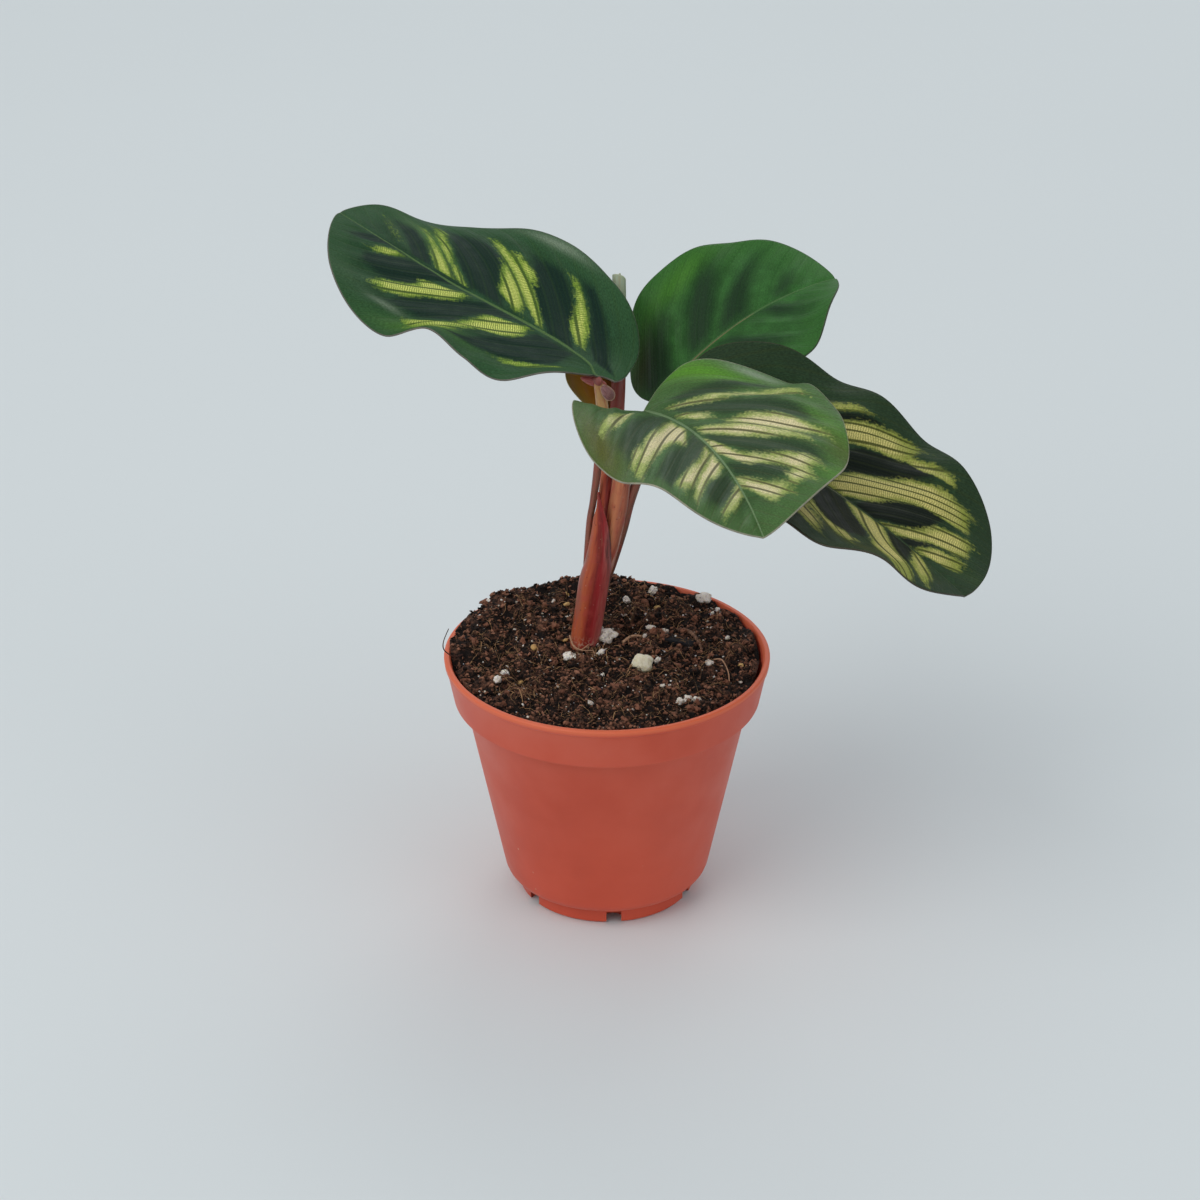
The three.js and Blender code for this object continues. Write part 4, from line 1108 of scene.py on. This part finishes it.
def leafTop(name, colours):
    skin = Skin("leafTop" + name, 0.42, specular=colours["gloss"], glow=0.05, glowDepth=0.2)
    window, blotch, edge = skin.split(skin.mark("marks"))
    freshAndGlow, olive, pale = skin.split(skin.mark("tints"))
    alongVeins = skin.node("UVMap", uv_map="veins").outputs[0]
    ladder, veinNumber, _ = skin.split(alongVeins)
    soft = skin.grain(skin.place, 260, detail=4)
    fringe = skin.add(skin.grain(alongVeins, 1, detail=4, roughness=0.65, stretch=(0.35, 7, 1)), -0.5)
    velvet = skin.grain(alongVeins, 1, roughness=0.6, stretch=(1.6, 16, 1))

    # green ground, fresher towards the margin, with dark blotches
    skin.colour = skin.mix(skin.step(soft, 0.35, 0.7), colours["ground"], shaded(colours["ground"], 1.5))
    fromEdge = skin.add(edge, skin.times(skin.add(soft, -0.5), 8))
    skin.paint(skin.step(fromEdge, 7.5, 1.5, 0.0, 0.85), colours["margin"])
    # bright green patches, partly painted glow of light through the leaf
    skin.paint(freshAndGlow, colours["freshAndGlow"])
    inBlotch = skin.step(skin.add(blotch, skin.times(fringe, 1.6)), *colours["blotchSoften"])
    skin.paint(inBlotch, colours["blotch"])
    skin.paint(olive, colours["olive"])
    ground = skin.colour

    # pale windows, crossed by short rungs between the veins and green again at their outer ends
    veinIndex = skin.calculate("FLOOR", skin.add(veinNumber, 0.5))
    shift = skin.node("TexWhiteNoise", {"W": veinIndex}, noise_dimensions="1D").outputs["Value"]
    sway = skin.grain(alongVeins, 1, detail=1, stretch=(0.25, 2, 1))
    rung = skin.add(skin.times(ladder, colours["rungs"]), skin.times(sway, 1.6), shift)
    rungLine = skin.line(rung, 0.34, 0.12)
    sixths = skin.calculate("FLOOR", skin.times(veinNumber, 6))
    cell = skin.node("CombineXYZ", {0: skin.calculate("FLOOR", rung), 1: sixths}).outputs[0]
    ragged = skin.node("TexWhiteNoise", {"Vector": cell}, noise_dimensions="2D").outputs["Value"]
    fringed = skin.add(window, skin.times(fringe, colours["fringe"]), skin.times(skin.add(ragged, -0.5), 0.4))
    inWindow = skin.step(fringed, *colours["soften"])
    deep = skin.step(fringed, -0.1, colours["depth"])
    skin.colour = skin.mix(deep, colours["windowEdge"], colours["window"])
    skin.paint(skin.step(soft, 0.35, 0.7, 0.0, 0.3), shaded(colours["window"], 1.25))
    skin.paint(skin.step(fromEdge, 9.0, 2.5, 0.0, 0.85), colours["windowEdge"])
    skin.paint(rungLine, colours["rung"], colours["rungShare"])
    skin.colour = skin.mix(inWindow, ground, skin.colour)

    # side veins, finer ones between them, the midrib and the rim
    veinLine = skin.line(veinNumber, 0.18, 0.06)
    skin.paint(skin.times(veinLine, skin.add(skin.times(inWindow, 0.75), 0.13)), colours["vein"])
    minorLine = skin.line(skin.times(veinNumber, 3), 0.2, 0.05)
    skin.paint(skin.times(minorLine, skin.add(skin.times(inWindow, 0.04), 0.1)), colours["vein"])
    skin.paint(skin.step(skin.mark("marks", "Alpha"), 1.05, 0.7), colours["midrib"], 0.9)
    skin.paint(skin.step(edge, 0.2, 0.06), colours["rim"], 0.5)
    # painted sheen: pale whitish patches where light is reflected
    skin.paint(pale, bladeShape["pale"])
    skin.colour = skin.mix(1.0, skin.colour, skin.step(velvet, 0.3, 0.7, 0.72, 1.28), way="MULTIPLY")
    quilt = skin.add(skin.times(veinLine, -0.5), skin.times(rungLine, -0.12), skin.times(minorLine, -0.2),
                     skin.times(velvet, 0.3))
    return skin.finish(quilt, 0.4, 0.12, (skin.grain(skin.place, 420), 0.25, 0.75, 0.36, 0.5))


def leafUnder(name):
    under = bladeShape["under"]
    skin = Skin("leafUnder" + name, 0.5, specular=0.35, glow=0.15, glowDepth=0.8)
    window, blotch, edge = skin.split(skin.mark("marks"))
    veinNumber = skin.split(skin.node("UVMap", uv_map="veins").outputs[0])[1]
    soft = skin.grain(skin.place, 300, detail=4)
    veinLine = skin.line(veinNumber, 0.08, 0.02)
    skin.colour = skin.mix(soft, shaded(under["ground"], 0.8), shaded(under["ground"], 1.25))
    skin.paint(skin.step(blotch, -0.4, 0.5), under["blotch"])
    skin.paint(skin.step(window, -0.1, 0.7, 0.0, 0.75), under["window"])
    skin.paint(veinLine, under["vein"], 0.4)
    skin.paint(skin.step(edge, 1.2, 0.2, 0.0, 0.5), under["edge"])
    return skin.finish(skin.add(veinLine, soft), 0.4, 0.14, (soft, 0.3, 0.7, 0.42, 0.6))


def leafRim(name, colour):
    skin = Skin("leafRim" + name, 0.45, specular=0.3, glow=0.1, glowDepth=0.3)
    soft = skin.grain(skin.place, 500)
    skin.colour = skin.ramp(soft, [(0.3, shaded(colour, 0.6)), (0.7, colour)])
    return skin.finish(soft, 0.2, 0.05)


def leafRib():
    skin = Skin("leafRib", 0.42, specular=0.45, glow=0.2, glowDepth=0.8)
    grain = skin.mark("grain")
    streak = skin.grain(grain, 3, detail=4, stretch=(1, 1, 0.08))
    skin.colour = skin.mix(skin.step(skin.split(grain)[2], 3, 22), rib["foot"], rib["colour"])
    skin.paint(streak, rib["streak"], 0.5)
    return skin.finish(streak, 0.4, 0.12, (streak, 0.3, 0.7, 0.36, 0.5))


def underBase(leaf, distance):
    base = bladeSurface(leaf)(0, 0)
    stalkTop = Vector(shoot[leaf["stalk"]]["points"][-1])
    return base + (stalkTop - base).normalized() * distance


def flatBlade(bm, leaf):
    # a grid pulled to the flat leaf's outline
    bmesh.ops.create_grid(bm, x_segments=2 * bladeShape["columns"], y_segments=bladeShape["rows"], size=0.5)
    for vert in bm.verts:
        tau = min(max(vert.co.y + 0.5, 0.0), 1.0)
        across = min(max(2 * vert.co.x, -1.0), 1.0)
        spread = math.copysign(abs(across) ** 1.2, across)
        middle = leaf["length"] * (0.98 * tau ** bladeShape["baseRows"] + 0.02 * tau)
        marginX, marginY = flatMargin(leaf, tau, 0 if across < 0 else 1)
        slant = (marginX - middle) * abs(across) ** bladeShape["marginRows"]
        vert.co = Vector((middle + slant, -marginY * spread, 0))
    bmesh.ops.remove_doubles(bm, verts=bm.verts, dist=0.0005)


def marginTree(leaf):
    count = bladeShape["marginSteps"]
    margin = kdtree.KDTree(2 * (count + 1))
    for k in range(count + 1):
        for half, sign in enumerate((1, -1)):
            x, y = flatMargin(leaf, k / count, half)
            margin.insert((x, sign * y, 0), 2 * k + half)
    margin.balance()
    return margin


def markBlade(bm, leaf):
    # the pattern's attributes and vein map; the flat places are kept for the bending
    margin = marginTree(leaf)
    marks = bm.verts.layers.float_color.new("marks")
    tints = bm.verts.layers.float_vector.new("tints")
    veins = bm.loops.layers.uv.new("veins")
    flat = {}
    for vert in bm.verts:
        x, y = vert.co.x, vert.co.y
        patternY = y + hookShift(leaf, x)
        side = 1 if patternY >= 0 else -1
        q, u, slope, _ = veinPlace(leaf, x, patternY)
        window = bandField(leaf, leaf["windows"][side], q, u, slope)
        blotch = bandField(leaf, leaf["blotches"][side], q, u, slope)
        edge = margin.find((x, y, 0))[2]
        ribHalf = 0.5 - 0.33 * min(max(x / leaf["length"], 0), 1)
        vert[marks] = (window, blotch, edge, abs(y - ribShift(leaf, x)) / ribHalf)
        # tints: fresh green partly painted glow of light through the leaf, olive, and pale painted sheen
        vert[tints] = [tintShare(leaf["tints"][tint], side, u, q) for tint in ("freshAndGlow", "olive", "pale")]
        flat[vert.index] = (x, y, q, u, edge)
    for face in bm.faces:
        side = 1 if face.calc_center_median().y >= 0 else -1
        for loop in face.loops:
            x, y = loop.vert.co.x, loop.vert.co.y
            q, u, _, ladder = veinPlace(leaf, x, y)
            warp = 0.1 * noise.noise(Vector((x * 0.08, side * 9.0, u / 50)))
            loop[veins].uv = (ladder, veinCount(leaf["veins"][side], q, u) + 20.5 + warp)
    return flat


def bendBlade(bm, leaf, flat):
    # the flat leaf is bent, its top turned up, then rippled with a ridge at each vein and a midrib groove
    surface = bladeSurface(leaf)
    length = leaf["length"]
    for vert in bm.verts:
        vert.co = surface(vert.co.x, vert.co.y)
    bm.normal_update()
    nearMiddle = min(bm.faces, key=lambda face: (face.calc_center_median() - surface(length * 0.4, 2)).length)
    along = surface(length * 0.45, 0) - surface(length * 0.35, 0)
    upwards = along.cross(surface(length * 0.4, 3) - surface(length * 0.4, -3))
    if nearMiddle.normal.dot(upwards) < 0:
        bmesh.ops.reverse_faces(bm, faces=bm.faces)
        bm.normal_update()
    moves = []
    for vert in bm.verts:
        x, y, q, u, edge = flat[vert.index]
        inner = smoothStep(0, 12, u) * smoothStep(0, 5, edge)
        wave = 2 * math.pi * q / bladeShape["rippleLength"] + 3 * y / leaf["width"]
        ripple = leaf["ripple"] * math.sin(wave) * inner
        ridge = bladeShape["veinRidge"] * math.cos(2 * math.pi * q / bladeShape["veinStep"]) * inner
        groove = bladeShape["groove"] * math.exp(-((y - ribShift(leaf, x)) / bladeShape["grooveWidth"]) ** 2)
        moves.append((vert, vert.normal * (ripple + ridge - groove)))
    for vert, move in moves:
        vert.co += move


def makeRib(name, leaf, node, skin):
    surface = bladeSurface(leaf)
    points = [underBase(leaf, rib["knee"]), underBase(leaf, rib["kneeOverlap"])]
    for t, share in zip(rib["places"], rib["shares"][2:]):
        depth = (share + rib["swelling"] * math.exp(-t / rib["swellingReach"])) * rib["radius"]
        points.append(surface(t * leaf["length"], 0) - Vector((0, 0, depth)))

    def widthsAt(t):
        wide = throughStations(rib["shares"], t) * rib["radius"]
        return wide, wide
    tubePiece("rib" + name, points, widthsAt, rib, skin, node)


def makeBlade(node, leaf, ribSkin):
    name = leaf["piece"]
    bm = bmesh.new()
    flatBlade(bm, leaf)
    bendBlade(bm, leaf, markBlade(bm, leaf))
    skins = [leafTop(name, leaf["colours"]), leafUnder(name), leafRim(name, leaf["colours"]["rim"])]
    finishPiece("blade" + name, bm, skins, node, wall=bladeShape["thickness"])
    makeRib(name, leaf, node, ribSkin)


reaches = {leaf["stalk"]: underBase(leaf, rib["stalkOverlap"]) for leaf in leaves.values()}
for name, stem in shoot.items():
    if "startAngles" in stem:
        makeSheath(name, stem)
    else:
        makeStem(name, stem, reaches.get(name))
print("stalks made")


membranes = {  # thin sheets at the left leaf's foot: the ligule and the pink wing of the knee
    "ligule": {
        "centre": (0.0, 1.85, 99.75), "along": (2.3, 0.5, -3.2), "aside": (0.78, 0.45, 0.62), "length": 3.7,
        "width": 2.1, "widen": 0.2, "bulge": 0.5, "wall": 0.14, "dark": (0.20, 0.080, 0.085),
        "light": (0.36, 0.19, 0.18), "rim": (0.50, 0.33, 0.25),
    },
    "kneeWing": {
        "centre": (-2.4, 2.0, 101.75), "along": (4.3, 0.0, -1.5), "aside": (0.3, 0.0, 1.0), "length": 4.9,
        "width": 1.7, "widen": 0.15, "bulge": 0.5, "wall": 0.14, "dark": (0.30, 0.070, 0.065),
        "light": (0.42, 0.120, 0.110), "rim": (0.40, 0.14, 0.11),
    },
}


def membraneSkin(name, rule):
    skin = Skin(name + "Skin", 0.42, specular=0.25, glow=0.25, glowDepth=0.5)
    streak = skin.grain(skin.mark("grain"), 3, detail=4, stretch=(0.5, 3, 1))
    skin.colour = skin.mix(skin.step(streak, 0.35, 0.65), rule["dark"], rule["light"])
    skin.paint(skin.step(skin.mark("rim", "Fac"), 0.84, 0.95), rule["rim"])
    return skin.finish(streak, 0.4, 0.12, (streak, 0.3, 0.7, 0.34, 0.48))


def makeMembrane(name, rule):
    # a round sheet drawn out along one way and bulged forwards
    bm = bmesh.new()
    rim = bm.verts.layers.float.new("rim")
    grain = bm.verts.layers.float_vector.new("grain")
    sides = 48
    bmesh.ops.create_circle(bm, cap_ends=True, segments=sides, radius=1)
    for _ in range(9):
        middle = [face for face in bm.faces if len(face.verts) == sides]
        bmesh.ops.inset_region(bm, faces=middle, thickness=0.1)
    bmesh.ops.poke(bm, faces=[face for face in bm.faces if len(face.verts) == sides])
    along, aside = Vector(rule["along"]).normalized(), Vector(rule["aside"]).normalized()
    for vert in bm.verts:
        reach = vert.co.length
        out = rule["bulge"] * (1 - reach ** 3) + 0.12 * noise.noise(vert.co * 2)
        vert[rim] = reach
        vert[grain] = vert.co.copy()
        width = rule["width"] * (1 + rule["widen"] * vert.co.x)
        lengthwise = along * vert.co.x * rule["length"] / 2
        vert.co = Vector(rule["centre"]) + lengthwise + aside * vert.co.y * width / 2 + Vector((0, -out, 0))
    finishPiece(name, bm, [membraneSkin(name, rule)], "shoot", wall=rule["wall"])


for name, rule in membranes.items():
    makeMembrane(name, rule)
print("membranes made")

ribSkin = leafRib()
for node, leaf in leaves.items():
    makeBlade(node, leaf, ribSkin)
    print("blade", leaf["piece"], "made")


# young leaf: a sheet rolled round its own axis, with its lower edge opening to one side

youngLeaf = {
    "axis": [(1.5, 13, 89.4), (1.8, 17, 94.4), (2, 24, 101.6), (2, 33.5, 110)],
    "innerRadius": 0.55, "pitchPerTurn": 0.95, "turns": 1.15, "taper": 0.05, "tipSlant": 3,
    "rolledShare": 0.72, "endAngle": 90, "rows": 110, "columns": 120, "thickness": 0.3,
    "flap": {"length": 8.3, "peak": 0.48, "below": 0.36, "above": 0.12, "edge": 1.2},
    "rollColours": [(0.0, (0.28, 0.055, 0.042)), (0.45, (0.22, 0.062, 0.046)), (0.7, (0.17, 0.12, 0.07)),
                    (0.86, (0.20, 0.25, 0.15)), (1.0, (0.30, 0.36, 0.24))],
    "flapColours": [(0.0, (0.135, 0.063, 0.012)), (0.3, (0.20, 0.085, 0.006)), (0.6, (0.32, 0.140, 0.006)),
                    (0.85, (0.28, 0.180, 0.020)), (1.0, (0.20, 0.160, 0.040))],
    "streaks": (0.30, 0.16, 0.09),
}


def youngSkin():
    skin = Skin("youngLeafSkin", 0.42, specular=0.45, glow=0.35, glowDepth=0.9)
    spread = skin.mark("spread")
    height, _, opened = skin.split(spread)
    streak = skin.grain(spread, 6, detail=5, stretch=(0.6, 5, 1))
    skin.colour = skin.ramp(height, youngLeaf["rollColours"])
    skin.paint(skin.step(opened, 0.04, 0.15), skin.ramp(opened, youngLeaf["flapColours"]))
    skin.paint(skin.step(streak, 0.5, 0.75, 0.0, 0.4), youngLeaf["streaks"])
    return skin.finish(streak, 0.4, 0.15, (streak, 0.3, 0.7, 0.36, 0.5))


def makeYoungLeaf():
    axis, flap, rolledShare = youngLeaf["axis"], youngLeaf["flap"], youngLeaf["rolledShare"]
    length = sum((Vector(a) - Vector(b)).length for a, b in zip(axis, axis[1:]))
    bm = bmesh.new()
    spread = bm.verts.layers.float_vector.new("spread")
    bmesh.ops.create_grid(bm, x_segments=youngLeaf["columns"], y_segments=youngLeaf["rows"], size=0.5)
    for vert in bm.verts:
        s, v = vert.co.y + 0.5, vert.co.x + 0.5
        t = s * (1 - youngLeaf["tipSlant"] / length * v)
        centre = pathThrough(axis, t)
        tangent = directionAt(lambda place: pathThrough(axis, place), t)
        right = (Vector((1, 0, 0)) - tangent * tangent.x).normalized()
        back = tangent.cross(right)
        rolled = youngLeaf["turns"] * min(v / rolledShare, 1)
        angle = math.radians(youngLeaf["endAngle"]) - 2 * math.pi * (youngLeaf["turns"] - rolled)
        radius = youngLeaf["innerRadius"] + youngLeaf["pitchPerTurn"] * rolled
        radius *= 1 - youngLeaf["taper"] * s * s
        opened = max(0, (v - rolledShare) / (1 - rolledShare))
        fade = (s - flap["peak"]) / (flap["below"] if s < flap["peak"] else flap["above"])
        reach = opened * (flap["length"] * math.exp(-fade * fade) + flap["edge"])
        vert[spread] = (s, v, opened)
        aside = right * (radius * math.cos(angle) - reach)
        vert.co = centre + aside + back * (radius * math.sin(angle) - 0.1 * reach * opened)
    bmesh.ops.recalc_face_normals(bm, faces=bm.faces)
    finishPiece("youngScroll", bm, [youngSkin()], "leaf_young", wall=youngLeaf["thickness"])


makeYoungLeaf()
print("young leaf made")


# floor and light

studio = {"floorSize": 6000, "floorColour": (0.70, 0.745, 0.755), "world": (0.92, 0.96, 1.0),
          "worldStrength": 0.6}
lampAim = (0, 0, 0.07)
lamps = {  # places and sizes in metres, as the aim is
    "key": {"place": (-0.75, -0.65, 1.15), "size": 1.2, "power": 8.0, "colour": (1.0, 0.99, 0.97)},
    "fill": {"place": (0.95, -0.65, 0.75), "size": 1.0, "power": 1.2, "colour": (0.95, 0.98, 1.0)},
    "back": {"place": (0.25, 1.05, 1.0), "size": 0.8, "power": 2.4, "colour": (1.0, 1.0, 0.98)},
}


def floorPaint():
    skin = Skin("palePaper", 0.85, specular=0.2)
    cloud = skin.step(skin.grain(skin.place, 2.5, detail=2), 0.3, 0.7, 0.0, 0.35)
    skin.colour = skin.mix(cloud, studio["floorColour"], shaded(studio["floorColour"], 0.96))
    return skin.finish(skin.grain(skin.place, 900, detail=2), 0.05, 0.05)


def makeStudio():
    bm = bmesh.new()
    bmesh.ops.create_grid(bm, x_segments=4, y_segments=4, size=studio["floorSize"] / 2)
    objectOf("floor", bm, [floorPaint()])
    world = bpy.data.worlds.new("studio")
    world.use_nodes = True
    sky = world.node_tree.nodes["Background"]
    sky.inputs["Color"].default_value = (*studio["world"], 1)
    sky.inputs["Strength"].default_value = studio["worldStrength"]
    bpy.context.scene.world = world
    for name, lamp in lamps.items():
        light = bpy.data.lights.new(name, "AREA")
        light.shape = "DISK"
        light.size = lamp["size"]
        light.energy = lamp["power"]
        light.color = lamp["colour"]
        holder = bpy.data.objects.new(name, light)
        holder.location = lamp["place"]
        towards = Vector(lamp["place"]) - Vector(lampAim)
        holder.rotation_euler = towards.to_track_quat("Z", "Y").to_euler()
        bpy.context.scene.collection.objects.link(holder)
    bpy.context.scene.view_settings.view_transform = "Standard"
    bpy.context.scene.view_settings.look = "None"


makeStudio()
print("studio made")
